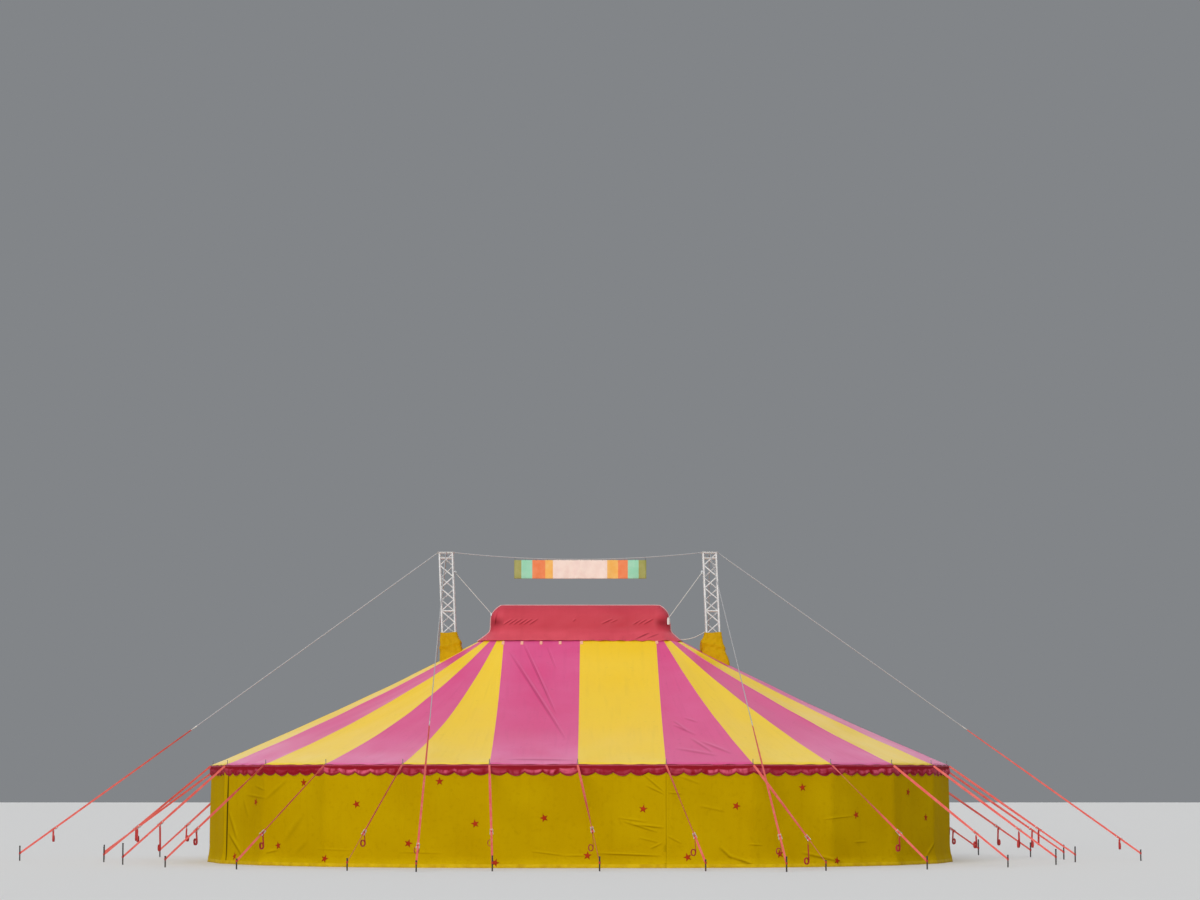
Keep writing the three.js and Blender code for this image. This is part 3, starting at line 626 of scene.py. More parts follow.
ROOF_FOLDS = [
    ((-1.86, 5.52), (-0.30, 3.14), 0.040, 0.026), ((-1.50, 5.76), (-0.57, 3.80), 0.036, 0.018),
    ((-0.85, 5.65), (-0.62, 5.05), 0.034, 0.007), ((-1.75, 2.65), (-0.10, 2.63), 0.034, 0.010),
    ((2.38, 3.64), (2.72, 3.38), 0.036, 0.008), ((2.38, 3.53), (2.95, 3.26), 0.036, 0.009),
    ((2.66, 3.71), (3.02, 3.59), 0.034, 0.007), ((2.80, 3.18), (3.33, 2.82), 0.038, 0.010),
    ((3.05, 3.10), (3.80, 2.79), 0.038, 0.010), ((2.40, 2.92), (3.45, 2.74), 0.040, 0.008),
]


def roof_cloth(place, share):
    """The roof canvas with its details, all along z: the belly of each strip between its seams, the
    raised lap on each seam, pulls that fan out from each pole, and slow waves."""
    point = roof_point(place, share)
    place, share = np.broadcast_arrays(place, share)
    across = place - np.floor(place + 1e-9)
    slack = 4 * share * (1 - share)
    belly = -STRIP_BELLY * np.sin(math.pi * across) * slack ** 0.7
    lap = SEAM_RISE * (across < SEAM_LAP * 0.99)
    reach = np.exp(-share * 9.0)
    near = np.minimum(across, 1 - across)
    pulls = 0.010 * reach * np.exp(-near * 5.5) * np.sin(2 * math.pi * (near * 4.0 - share * 5.0))
    waves = slack * ripple((place * 0.83 + share * 1.9, 0.005), (place * 2.1 - share * 3.3, 0.003),
                           (place * 0.31 + share * 5.3, 0.003))
    eave_waves = 0.006 * np.exp(-share * 22.0) * ripple((place * 3.0, 1.0), (place * 4.0 + 0.3, 0.6))
    point[..., 2] += belly + lap + pulls + waves + eave_waves * np.sin(math.pi * across)
    return point


MAST_LEAN, MAST_HEIGHT = 0.328, 8.2
MAST_HALF, MAST_SHIFT = 3.53, 0.262
SIDES = {"left": -1, "right": 1}


def mast_x(side, height):
    """Middle of a mast at this height: both masts lean a little to the left."""
    return SIDES[side] * MAST_HALF + MAST_SHIFT - MAST_LEAN * np.asarray(height, float) / MAST_HEIGHT


place_grid, share_grid = np.meshgrid(roof_places, roof_shares)
roof_points = roof_cloth(place_grid, share_grid)
roof_points[:, -1] = roof_points[:, 0]
across_grid = place_grid - np.floor(place_grid + 1e-9)
roof_flat = np.stack([across_grid * BAY, share_grid * STRIP_LENGTH], axis=-1)
roof_flat[:, -1, 0] = BAY
strip_number = (np.arange(len(roof_places) - 1) // len(strip_shares)) % 2
roof_shape = grid_shape(roof_points, roof_flat, finish=strip_number[None, :], wrap_columns=True)

# %% [markdown]
# ## Holes for the masts
# Each mast goes through the canvas, and the sleeve round it covers the hole. The faces whose middle lies
# within 28 cm of a mast, in x and in y, are left out of the sheet.

# %% Mast holes
HOLE_HALF = 0.28
middles = roof_shape["points"][roof_shape["faces"]].mean(axis=1)
in_hole = np.zeros(len(middles), bool)
for side in SIDES:
    in_hole |= ((np.abs(middles[:, 0] - mast_x(side, middles[:, 2])) < HOLE_HALF)
                & (np.abs(middles[:, 1]) < HOLE_HALF))
for key in ("faces", "flat", "finish"):
    roof_shape[key] = roof_shape[key][~in_hole]
print("faces left out for the masts:", int(in_hole.sum()))

CANVAS_THICKNESS = 0.004
roof_area = cloth_area(roof_shape)
roof_nodes = [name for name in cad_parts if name.startswith("roof_panel_")]
roof = make_piece("roof_canvas", roof_shape, [roof_yellow, roof_pink], roof_nodes,
                  cloth=CANVAS_THICKNESS, sharp_degrees=70, folds=ROOF_FOLDS)
print("roof canvas area", round(roof_area, 1), "square metres")

# %% [markdown]
# ## Valance
# A dark red frill hangs from the eave all round, with five scallops to a bay and a bound edge. Its grid
# runs round the tent in columns and from the eave down to the scalloped edge in rows, so the edge stays
# smooth. Two swags of cloth hang from pole to pole, the second a third of the drop below the first, and
# the depth of each wanders from scallop to scallop.

# %% Valance finish
SWAG_TOP, SWAG_DEPTH = 0.026, 0.066


def frill_cloth():
    """Dark red cloth in painted light and shade: painted shade in the band under the eave, painted light
    below the line of its swags, which rises to each pole, and on its ruffles, and painted shade again at the
    scallops. The swag line is SWAG_TOP + SWAG_DEPTH * |sin(pi place)| below the eave."""
    finish = Finish("valance_cloth")
    flat = finish.flat()
    along, drop, _ = finish.parts(flat)
    swag = finish.sum("ABSOLUTE", finish.sum("SINE", finish.times(along, math.pi / BAY)))
    line = finish.sum("ADD", finish.times(swag, SWAG_DEPTH), SWAG_TOP)
    light = finish.ramp(finish.sum("SUBTRACT", drop, line), 0.0, 0.025)
    scallop = finish.ramp(drop, 0.16, 0.21, 1.0, 0.1)
    patches = finish.noise(flat, 0.45, 0.36, 0.58, stretch=(1.0, 4.0, 1.0))
    ruffle_light = finish.noise(flat, 7.0, 0.36, 0.56, stretch=(1.0, 0.35, 1.0))
    share = finish.times(finish.times(light, scallop), finish.times(patches, ruffle_light))
    # The one red cloth in painted shade, (0.26, 0.006, 0.014), and in painted light, (0.64, 0.100, 0.17).
    colour = finish.mix(share, (0.26, 0.006, 0.014), (0.64, 0.100, 0.17))
    worn = finish.noise(finish.place(), 14.0, 0.55, 0.8)
    colour = finish.mix(finish.times(worn, 0.3), colour, (0.16, 0.004, 0.010))
    return finish.surface(colour, 0.75, finish.bands(flat, 150.0), 0.2, 0.0004, shine=0.08)


def plain_cloth(name, colour, worn, roughness=0.7, weave=150.0, shine=0.5):
    """Cloth, webbing or thread of one dye with worn patches and a fine weave."""
    finish = Finish(name)
    colour = finish.mix(finish.noise(finish.place(), 5.0, 0.4, 0.75, detail=6.0), colour, worn)
    return finish.surface(colour, roughness, finish.weave(weave), 0.4, 0.0005, shine)


valance_red = frill_cloth()
valance_binding = plain_cloth("valance_binding", (0.30, 0.012, 0.02), (0.48, 0.05, 0.08))

# %% Valance
SCALLOPS = 5
VALANCE_TOP = 2.4745
VALANCE_DROP, SCALLOP_DEPTH = 0.152, 0.084
FRILL_OFFSET, SECOND_SWAG = 0.060, 0.33
VALANCE_COLUMNS, VALANCE_ROWS = 60, 14


def valance_point(place, share):
    """Point on the frill: share 0 at the eave and 1 at the scalloped edge. The edge is lower by the sine
    of the place within its scallop. Two swags run from pole to pole, the second a third of the drop below
    the first, and the cloth turns in again at the edge."""
    scallop = np.abs(np.sin(math.pi * SCALLOPS * place)) ** 0.8
    drop = VALANCE_DROP + SCALLOP_DEPTH * scallop * (1 + ripple((place * 1.7 + 0.3, 0.12)))
    wander = ripple((place * 0.9 + 0.2, 0.5), (place * 2.3, 0.3), (place * 5.0 + 0.15, 0.35))
    line = (SWAG_TOP + 0.02 + SWAG_DEPTH * np.abs(np.sin(math.pi * place))) / VALANCE_DROP
    first = (0.018 + 0.008 * wander) * np.exp(-((share - line) / 0.10) ** 2)
    below = share - line - SECOND_SWAG - 0.08 * wander
    second = (0.016 - 0.012 * wander) * np.exp(-(below / 0.07) ** 2)
    lower = (0.010 + 0.012 * scallop + 0.006 * wander) * np.sin(math.pi * share ** 1.6)
    flutter = 0.012 * share * ripple((place * SCALLOPS * 2 + 0.1, 0.5), (place * 13.7, 0.5))
    return eave_point(place, FRILL_OFFSET + first + second + lower + flutter, VALANCE_TOP - drop * share)


valance_places = np.linspace(0, BAYS, BAYS * VALANCE_COLUMNS + 1)
valance_shares = np.append(np.linspace(0, 0.93, VALANCE_ROWS - 1), 1.0)
place_grid, share_grid = np.meshgrid(valance_places, valance_shares)
valance_flat = np.stack([place_grid * BAY, share_grid * (VALANCE_DROP + SCALLOP_DEPTH)], axis=-1)
bound = (np.arange(len(valance_shares) - 1) == len(valance_shares) - 2).astype(int)
valance_shape = grid_shape(valance_point(place_grid, share_grid), valance_flat, finish=bound[:, None],
                           wrap_columns=True)
valance = make_piece("valance_frill", valance_shape, [valance_red, valance_binding],
                     ["valance"], cloth=0.0025, sharp_degrees=70)
valance_area = cloth_area(valance_shape)

# %% [markdown]
# ## Side walls
# The walls are four curtains on a rope under the eave. They hang almost straight, turn outwards at the
# foot and lie on the ground with a loose hem. One function gives how far the cloth stands outside the
# pole line at each place and height, so that the curtains, their hems and the stars all agree.

# %% Wall surface
WALL_TOP = 2.44
WALL_BREAKS = [21, 27, 34, 40, 47]
WALL_NAMES = ["wall_front", "wall_right", "wall_back", "wall_left"]
LAP_PLACE = 21
WALL_FOLDS = [
    ((-8.97, 1.35), (-8.70, 0.62), 0.050, 0.010), ((-8.97, 0.80), (-8.52, 0.20), 0.050, 0.014),
    ((-8.52, 1.66), (-8.37, 1.18), 0.050, 0.005), ((-8.45, 1.77), (-7.85, 1.68), 0.040, 0.008),
    ((-7.88, 1.66), (-7.30, 2.15), 0.055, 0.007), ((-8.19, 2.00), (-7.87, 1.88), 0.040, 0.007),
    ((-6.85, 1.29), (-7.39, 0.58), 0.090, 0.005), ((-6.73, 0.64), (-7.06, 0.33), 0.070, 0.004),
    ((-6.49, 0.44), (-5.46, 0.41), 0.032, 0.005),
    ((-7.85, 0.32), (-7.50, 0.40), 0.040, 0.010), ((-4.40, 0.38), (-3.30, 0.36), 0.034, 0.006),
    ((-1.15, 0.41), (-0.30, 0.30), 0.032, 0.009), ((-0.34, 0.30), (0.24, 0.30), 0.032, 0.008),
    ((0.45, 0.36), (2.05, 0.30), 0.034, 0.014), ((1.60, 2.28), (2.12, 1.84), 0.032, 0.011),
    ((1.66, 2.01), (2.12, 1.79), 0.032, 0.010), ((0.97, 1.22), (1.70, 1.12), 0.032, 0.008),
    ((1.36, 1.06), (2.12, 0.98), 0.036, 0.013), ((1.10, 1.14), (1.96, 0.87), 0.036, 0.010),
    ((1.76, 0.47), (2.06, 0.61), 0.032, 0.011), ((1.48, 0.74), (1.98, 0.62), 0.032, 0.007),
    ((2.19, 1.83), (2.56, 1.80), 0.032, 0.009), ((2.19, 0.78), (2.54, 0.59), 0.032, 0.009),
    ((4.16, 0.57), (4.53, 0.55), 0.028, 0.010), ((3.66, 0.30), (4.46, 0.03), 0.048, 0.022),
    ((3.46, 0.52), (3.78, 0.22), 0.050, 0.014), ((5.50, 0.36), (6.55, 0.12), 0.048, 0.020),
    ((6.05, 1.17), (6.84, 1.25), 0.030, 0.010), ((6.85, 0.60), (7.21, 0.61), 0.030, 0.010),
    ((8.86, 0.20), (9.12, 0.54), 0.040, 0.014), ((-3.85, 0.10), (-3.05, 0.06), 0.032, 0.010),
    ((2.50, 2.23), (3.00, 2.04), 0.040, 0.006), ((2.95, 1.51), (3.62, 1.37), 0.040, 0.006),
    ((2.175, 2.42), (2.176, 0.02), 0.016, 0.009), ((4.860, 2.42), (4.861, 0.02), 0.045, 0.002),
    # The slit of the way in: its fifth number adds painted shade, nearly black, for the open gap.
    ((-9.000, 2.60), (-9.050, -0.20), 0.024, 0.014, 2.5),
]


def wall_offset(place, height):
    """How far the outer face of the wall stands outside the pole line. The base is 45 mm at the top,
    60 mm at knee height and 145 mm at the hem; slow upright waves grow between the rope and the foot, and
    the hem wanders by itself."""
    foot = np.clip(1 - height / 0.50, 0, 1)
    base = 0.045 + 0.015 * np.clip((WALL_TOP - height) / 1.9, 0, 1) + 0.085 * foot ** 1.7
    hang = np.sin(math.pi * np.clip(height / WALL_TOP, 0, 1)) ** 0.5
    waves = hang * ripple((place * 1.0 + 0.1, 0.005), (place * 2.7 + height * 0.12, 0.004),
                          (place * 0.37 + height * 0.3, 0.006))
    top_pleats = 0.004 * np.clip((height - 1.9) / 0.5, 0, 1) * np.sin(2 * math.pi * place * 4)
    hem_waves = foot * ripple((place * 0.71, 0.012), (place * 1.9 + 0.4, 0.008), (place * 4.3, 0.004))
    roll = 0.012 * np.exp(-((height - 0.13) / 0.05) ** 2) * (1 + ripple((place * 1.3, 0.6)))
    return base + waves + top_pleats + hem_waves + roll


def wall_point(place, height, proud=0.0):
    """Point on the outer face of the wall without its folds, raised by proud."""
    return eave_point(place, wall_offset(place, height) + proud, height)


# %% [markdown]
# ## Stars
# Small five-pointed stars of red-brown cloth are sewn to the walls, one here and one there. One star is
# drawn flat, as five four-cornered arms that are each split in nine, and all its copies are then laid on
# the wall's own surface, 6 mm proud, so they follow every fold. The back has the front's stars, turned.

# %% Star places
STAR_RADIUS, STAR_INNER, STAR_PROUD = 0.108, 0.045, 0.006
FRONT_STARS = [
    (-4.69, 0.20), (-4.20, 1.58), (-3.74, 0.50), (-3.34, 2.07), (-2.97, 0.20), (-2.58, 1.54),
    (-1.92, 0.59), (-1.57, 2.10), (-1.16, 1.07), (-0.93, 0.13), (-0.38, 1.21), (0.11, 0.30),
    (0.74, 1.43), (1.24, 0.26), (1.80, 1.50), (2.32, 0.33), (2.62, 1.95), (3.05, 0.15),
    (3.38, 1.27), (4.36, 1.83), (4.80, 1.18), (6.00, 0.79), (6.62, 1.62),
]
star_places = np.array([((u + turn) % BAYS, z) for turn in (0, HALF_BAYS) for u, z in FRONT_STARS])


def flat_star():
    """Points and faces of one star lying in x and z, with a point up. Each arm is a kite between the
    centre, two inner corners and the tip, and its inside points are a mix of its four corners."""
    turn = math.pi / 2 + np.arange(10) * math.pi / 5
    radius = np.where(np.arange(10) % 2 == 0, STAR_RADIUS, STAR_INNER)
    rim = np.stack([np.cos(turn), np.sin(turn)], axis=-1) * radius[:, None]
    a, b = np.meshgrid(np.linspace(0, 1, 4), np.linspace(0, 1, 4))
    a, b = a[..., None], b[..., None]
    arms = []
    for tip in range(0, 10, 2):
        before, top, after = rim[tip - 1], rim[tip], rim[(tip + 1) % 10]
        arms.append(grid_shape(np.pad(a * (1 - b) * before + a * b * top + (1 - a) * b * after,
                                      ((0, 0), (0, 0), (0, 1))), np.zeros((4, 4, 2))))
    return join_shapes(arms)


star = flat_star()
star_cloth = plain_cloth("star_cloth", (0.34, 0.026, 0.004), (0.42, 0.042, 0.008), weave=190.0, shine=0.05)


def wall_stars(name, first, last):
    """All the stars of one curtain, laid on its surface, with their places counted on from its first."""
    near = [(first + (u - first) % BAYS, z) for u, z in star_places if (u - first) % BAYS < last - first]
    shapes = []
    for number, (place, height) in enumerate(near):
        tilt = 0.35 * math.sin(number * 2.4 + first)
        x = star["points"][:, 0] * math.cos(tilt) - star["points"][:, 1] * math.sin(tilt)
        z = star["points"][:, 0] * math.sin(tilt) + star["points"][:, 1] * math.cos(tilt)
        fold = fold_at(wall_point(place + x / BAY, height + z), WALL_FOLDS)[0]
        shapes.append(dict(star, points=wall_point(place + x / BAY, height + z, STAR_PROUD + fold),
                           flat=star["points"][star["faces"]][..., :2]))
    return make_piece(name + "_stars", shapes, [star_cloth], cloth=0.001,
                      merge=1e-5, sharp_degrees=60)


# %% [markdown]
# ## The lap and the seams
# The front curtain starts at the left with a loose edge that laps over the end curtain, which is the way
# in. Its last 20 cm stand away from the wall, and the slit shows as a dark line of painted shade, which is
# the last of the folds above. At the other seams the curtains meet in a welded lap.

# %% Wall curtains
WALL_COLUMNS, WALL_ROWS = 22, 46
LAP_REACH, LAP_COLUMNS = 0.06, np.array([-0.03, -0.015, 0.02, 0.06])
wall_heights = WALL_TOP * (1 - np.linspace(0, 1, WALL_ROWS + 1) ** 0.85)
hem_rows = (wall_heights[1:] < 0.055).astype(int)
# The hem rows, below 5.5 cm, get a brighter yellow: painted light on the hem, which turns out towards the
# sky.
wall_hem_painted_light = plain_cloth("wall_hem_painted_light", (0.62, 0.42, 0.004), (0.48, 0.29, 0.002), weave=190.0, shine=0.1)


def wall_curtain(name, first, last):
    """One curtain between two seams: columns along the plan and rows from the rope to the ground. The
    front one and the back one start with a loose edge, which has more columns."""
    lap = first in (LAP_PLACE, LAP_PLACE + HALF_BAYS)
    start = first - LAP_REACH / BAY if lap else first
    places = np.linspace(start, last, int(round((last - start) * WALL_COLUMNS)) + 1)
    if lap:
        places = np.sort(np.concatenate([places, first + LAP_COLUMNS / BAY]))
    grid_place, grid_height = np.meshgrid(places, wall_heights)
    inside = np.clip((grid_place - start) * BAY / 0.20, 0, 1)
    loose = 0.030 * (1 - inside) ** 1.5 if lap else 0.0
    seam = 0.006 * np.exp(-((last - grid_place) * BAY / 0.03) ** 2)
    points = wall_point(grid_place, grid_height, loose + seam)
    flat = np.stack([grid_place * BAY, grid_height], axis=-1)
    shape = grid_shape(points, flat, finish=hem_rows[:, None])
    piece = make_piece(name + "_curtain", shape, [wall_yellow_shaded, wall_hem_painted_light], [name],
                       cloth=0.003, sharp_degrees=70, folds=WALL_FOLDS)
    area = cloth_area(shape)
    wall_stars(name, first, last)


for number, name in enumerate(WALL_NAMES):
    wall_curtain(name, WALL_BREAKS[number], WALL_BREAKS[number + 1])

# %% [markdown]
# ## Steel and aluminium
# Weathered metal is never one tone. Galvanised steel has dull crystal patches, aluminium has a soft haze
# with fine scratches, and the stakes have dark paint that is worn to rust. Each finish mixes two or three
# tones with noise and lets the roughness change with them.


# %% Metal finishes
def metal(name, tone, dull, rough_low, rough_high, patch_scale=30.0, metallic=1.0, rust=0.0):
    """Metal of two tones in patches, with rust where a slower noise is high."""
    finish = Finish(name)
    place = finish.place()
    patches = finish.noise(place, patch_scale, 0.35, 0.7, detail=5.0)
    colour = finish.mix(patches, tone, dull)
    rough = finish.ramp(patches, 0, 1, rough_low, rough_high)
    if rust:
        rusty = finish.noise(place, 12.0, 1 - rust, 1.02 - rust * 0.6, detail=8.0)
        colour = finish.mix(rusty, colour, (0.20, 0.055, 0.018))
        rough = finish.sum("ADD", rough, finish.times(rusty, 0.35))
    return finish.surface(colour, rough, finish.grain(place, 180.0, 3.0), 0.25, 0.0006, metallic=metallic)


galvanised = metal("galvanised_steel", (0.50, 0.51, 0.52), (0.33, 0.34, 0.35), 0.38, 0.60)
aluminium = metal("weathered_aluminium", (0.74, 0.75, 0.75), (0.56, 0.57, 0.58), 0.40, 0.60, 14.0, 0.30)
zinc = metal("zinc_ratchet", (0.76, 0.75, 0.72), (0.46, 0.44, 0.42), 0.35, 0.50, 25.0, 0.45)
dark_stake = metal("painted_stake", (0.030, 0.028, 0.030), (0.055, 0.040, 0.035), 0.45, 0.70, 25.0,
                   metallic=0.2, rust=0.36)


# %% Rope and webbing finishes
def twisted(name, tone, groove, metallic, roughness):
    """Rope or wire rope: strands that wind round it, as slanting bands of the flat coordinates."""
    finish = Finish(name)
    slanted = finish.add("ShaderNodeMapping", {"Vector": finish.flat(), "Rotation": (0.0, 0.0, 0.7)})
    bands = finish.bands(slanted.outputs[0], 40.0)
    soiled = finish.times(finish.noise(finish.place(), 6.0, 0.5, 0.8), 0.4)
    colour = finish.mix(soiled, finish.mix(bands, groove, tone), groove)
    return finish.surface(colour, roughness, bands, 0.7, 0.0015, metallic=metallic)


wire_rope = twisted("wire_rope", (0.56, 0.57, 0.58), (0.34, 0.34, 0.35), 0.3, 0.50)
pale_rope = twisted("pale_rope", (0.78, 0.77, 0.73), (0.50, 0.49, 0.46), 0.0, 0.8)
webbing_coral = plain_cloth("webbing_coral", (0.72, 0.100, 0.080), (0.78, 0.17, 0.14), weave=90.0)
webbing_dark = plain_cloth("webbing_tail", (0.40, 0.014, 0.014), (0.50, 0.035, 0.025), weave=90.0)
belt_red = plain_cloth("belt_webbing", (0.36, 0.016, 0.045), (0.46, 0.05, 0.10), weave=90.0)


# %% [markdown]
# ## Side poles, pins and the wall rope
# A steel tube stands at every corner of the plan. Its pin goes up through an eyelet in the canvas and
# shows as a short dark point above the eave. A rope runs from pole to pole inside, and the walls hang on it.


# %% Side poles
POLE_RADIUS, PIN_RADIUS, PIN_TOP = 0.025, 0.009, 2.650
POLE_SHOULDER = 2.524
WALL_ROPE_OFFSET, WALL_ROPE_HEIGHT, WALL_ROPE_RADIUS = 0.0217, 2.41, 0.008
BASE_SIZE, BASE_THICKNESS = 0.120, 0.008
pole_profile = [(POLE_RADIUS - 0.003, BASE_THICKNESS), (POLE_RADIUS, BASE_THICKNESS + 0.003),
                (POLE_RADIUS, POLE_SHOULDER - 0.004), (POLE_RADIUS - 0.004, POLE_SHOULDER)]
pin_profile = [(PIN_RADIUS, POLE_SHOULDER - 0.03), (PIN_RADIUS, PIN_TOP - 0.012),
               (PIN_RADIUS * 0.7, PIN_TOP - 0.003), (PIN_RADIUS * 0.3, PIN_TOP)]
eyelet_profile = [(0.012, 2.534), (0.032, 2.534), (0.034, 2.538), (0.030, 2.541), (0.012, 2.541)]
pole_shapes = []
for number in range(BAYS):
    foot = eave_point(number, 0.0, 0.0)
    pole_shapes += [turned(pole_profile, foot), turned(pin_profile, foot, sides=10, finish=1),
                    turned(eyelet_profile, foot, sides=14, finish=1),
                    straight(foot, foot + (0, 0, BASE_THICKNESS), flat_section(BASE_SIZE, BASE_SIZE),
                             up=(0, 1, 0))]
rope_path = eave_point(np.arange(BAYS), WALL_ROPE_OFFSET, WALL_ROPE_HEIGHT)
pole_shapes.append(looped(rope_path, round_section(WALL_ROPE_RADIUS, 10), finish=2))
pin_steel = metal("pin_steel", (0.24, 0.24, 0.25), (0.12, 0.12, 0.13), 0.4, 0.6, 30.0, 0.9)
make_piece("side_pole_set", pole_shapes, [galvanised, pin_steel, pale_rope], ["side_poles"])

# %% [markdown]
# ## Eave belt
# A flat webbing belt runs round the eave just above the frill and takes the pull of the guys from the
# canvas. It shows as a thin dark red line: the red is the webbing's own, and its darkness is partly
# painted shade of the gap under the canvas edge.

# %% Belt
BELT_OFFSET, BELT_HEIGHT, BELT_WIDTH = 0.0605, 2.494, 0.034
belt_path = eave_point(np.arange(0, BAYS, 0.25), BELT_OFFSET, BELT_HEIGHT)
make_piece("eave_belt", looped(belt_path, flat_section(0.005, BELT_WIDTH)), [belt_red])

# %% [markdown]
# ## Ratchets
# Each guy is tightened by a ratchet: two side plates, a spool with webbing wound on it between two
# toothed wheels, a fixed bolt for the short strap, and a handle that folds back along the strap. It is
# built once, along its own y axis, and copied to each guy.


# %% Ratchet
WEBBING, ZINC, TAIL, STAKE, WIRE = range(5)
guy_finishes = [webbing_coral, zinc, webbing_dark, dark_stake, wire_rope]
SPOOL = (0.055, 0.010)
PLATE_HALF = 0.0015


def plate(outline, x):
    """An upright plate of zinc: an outline of (y, z) points with an even number of corners, given a
    thickness along x."""
    return straight((x - PLATE_HALF, 0, 0), (x + PLATE_HALF, 0, 0), np.asarray(outline)[:, ::-1],
                    up=(0, 1, 0), finish=ZINC)


def rod(reach, y, z, radius, sides=12, finish=ZINC):
    """A round rod along x, to this far on both sides of the middle."""
    return straight((-reach, y, z), (reach, y, z), round_section(radius, sides), finish=finish)


def ratchet_shape():
    """The ratchet with its spool, its bolts, its wound webbing and the end of the short strap."""
    side_plate = [(-0.100, -0.012), (0.060, -0.014), (0.088, -0.004), (0.092, 0.020),
                  (0.060, 0.034), (0.020, 0.030), (-0.060, 0.016), (-0.104, 0.010)]
    handle = [(0.055, -0.006), (0.082, 0.012), (0.070, 0.036), (-0.020, 0.046),
              (-0.110, 0.052), (-0.120, 0.040), (-0.100, 0.030), (0.010, 0.018)]
    teeth = np.where(np.arange(24) % 2 == 0, 0.029, 0.023)[:, None]
    wheel = SPOOL + round_section(1.0, 24) * teeth
    parts = [plate(outline, sign * x) for sign in (-1, 1)
             for outline, x in ((side_plate, 0.030), (handle, 0.038), (wheel, 0.0345))]
    parts += [rod(0.044, *SPOOL, 0.010), rod(0.036, -0.088, 0.000, 0.007), rod(0.040, -0.112, 0.043, 0.010),
              straight((0, -0.020, 0.040), (0, -0.085, 0.046), flat_section(0.070, 0.003), finish=ZINC),
              rod(0.025, *SPOOL, 0.024, 16, finish=WEBBING),
              straight((0, -0.125, 0.004), (0, -0.088, 0.006), flat_section(0.050, 0.006), finish=WEBBING)]
    return join_shapes(parts)


ratchet = ratchet_shape()
print("ratchet", len(ratchet["faces"]), "faces")

# %% [markdown]
# ## Strap tails
# The spare webbing of each guy hangs from its ratchet and is rolled up at the end, so that it looks like
# a ring. The strap runs down with its face to the outside, turns by a quarter, and winds inwards as a
# spiral whose radius shrinks by the webbing's thickness and a little air with each turn.

# %% Tail
ROLL_HALF_WIDTH, ROLL_HALF_HEIGHT, ROLL_TURNS = 0.064, 0.088, 4
ROLL_STEPS, HANGING_STEPS = 64, 10
ROLL_SHRINK = 0.075
WEBBING_WIDTH, WEBBING_THICKNESS = 0.050, 0.0032


def tail_shape(length):
    """A rolled tail that hangs from the origin down to this length: the hanging strap, which turns by a
    quarter in its upper third, then an oval spiral in the plane of x and z."""
    drop = length - ROLL_HALF_HEIGHT
    down = np.linspace(0, 1, HANGING_STEPS)
    turn = np.linspace(0, ROLL_TURNS * 2 * math.pi, ROLL_STEPS)
    shrink = 1 - ROLL_SHRINK * turn / (2 * math.pi)
    strap = np.stack([-0.5 * ROLL_HALF_WIDTH * down, 0 * down, -drop * down], axis=-1)
    roll = np.stack([(0.5 - np.cos(turn) * shrink) * ROLL_HALF_WIDTH, 0 * turn,
                     -drop - np.sin(turn) * shrink * ROLL_HALF_HEIGHT], axis=-1)
    quarter = np.concatenate([np.minimum(down * 3, 1), np.ones(ROLL_STEPS)]) * math.pi / 2
    across = np.stack([np.cos(quarter), np.sin(quarter), 0 * quarter], axis=-1)
    return carried(np.concatenate([strap, roll[1:]]), flat_section(WEBBING_WIDTH, WEBBING_THICKNESS),
                   across=across[:-1], finish=TAIL)


# %% [markdown]
# ## Stakes
# A stake is a steel bar driven into the ground, and each was driven to another depth. Its head is spread
# by the hammer, and the strap's end is looped round it 20 cm above the ground.

# %% Stake
STRAP_LOW_END = 0.200
STAKE_HEAD = [(0.0180, -0.030), (0.0215, -0.016), (0.0220, -0.008), (0.0170, -0.002), (0.0080, 0.0)]
loop_profile = [(0.0185, -0.026), (0.0245, -0.024), (0.0260, 0.000), (0.0245, 0.024), (0.0185, 0.026)]


def stake_shapes(foot, height):
    """A stake of this height at its foot, with the strap's loop round it."""
    profile = [(0.0175, 0.0), (0.0180, 0.02)] + [(radius, height + drop) for radius, drop in STAKE_HEAD]
    return [turned(profile, foot, sides=12, finish=STAKE),
            turned(loop_profile, foot + (0, 0, STRAP_LOW_END), sides=12, finish=TAIL)]


# %% [markdown]
# ## Guys
# A guy is a webbing strap from the belt to a stake 3.1 m outside the wall. It is doubled down to its
# ratchet, the two layers part a little in the middle, and both twist as they go, so that a strap looks
# wide in one place and thin in another. Each corner has its own row of numbers, read off the photograph:
# how far the stake stands sideways, its height, the share of the guy above the ratchet, the length of
# the strap's tail, four turns of the strap above the ratchet and one for the piece below it. The back has
# the front's rows, turned by half a turn.

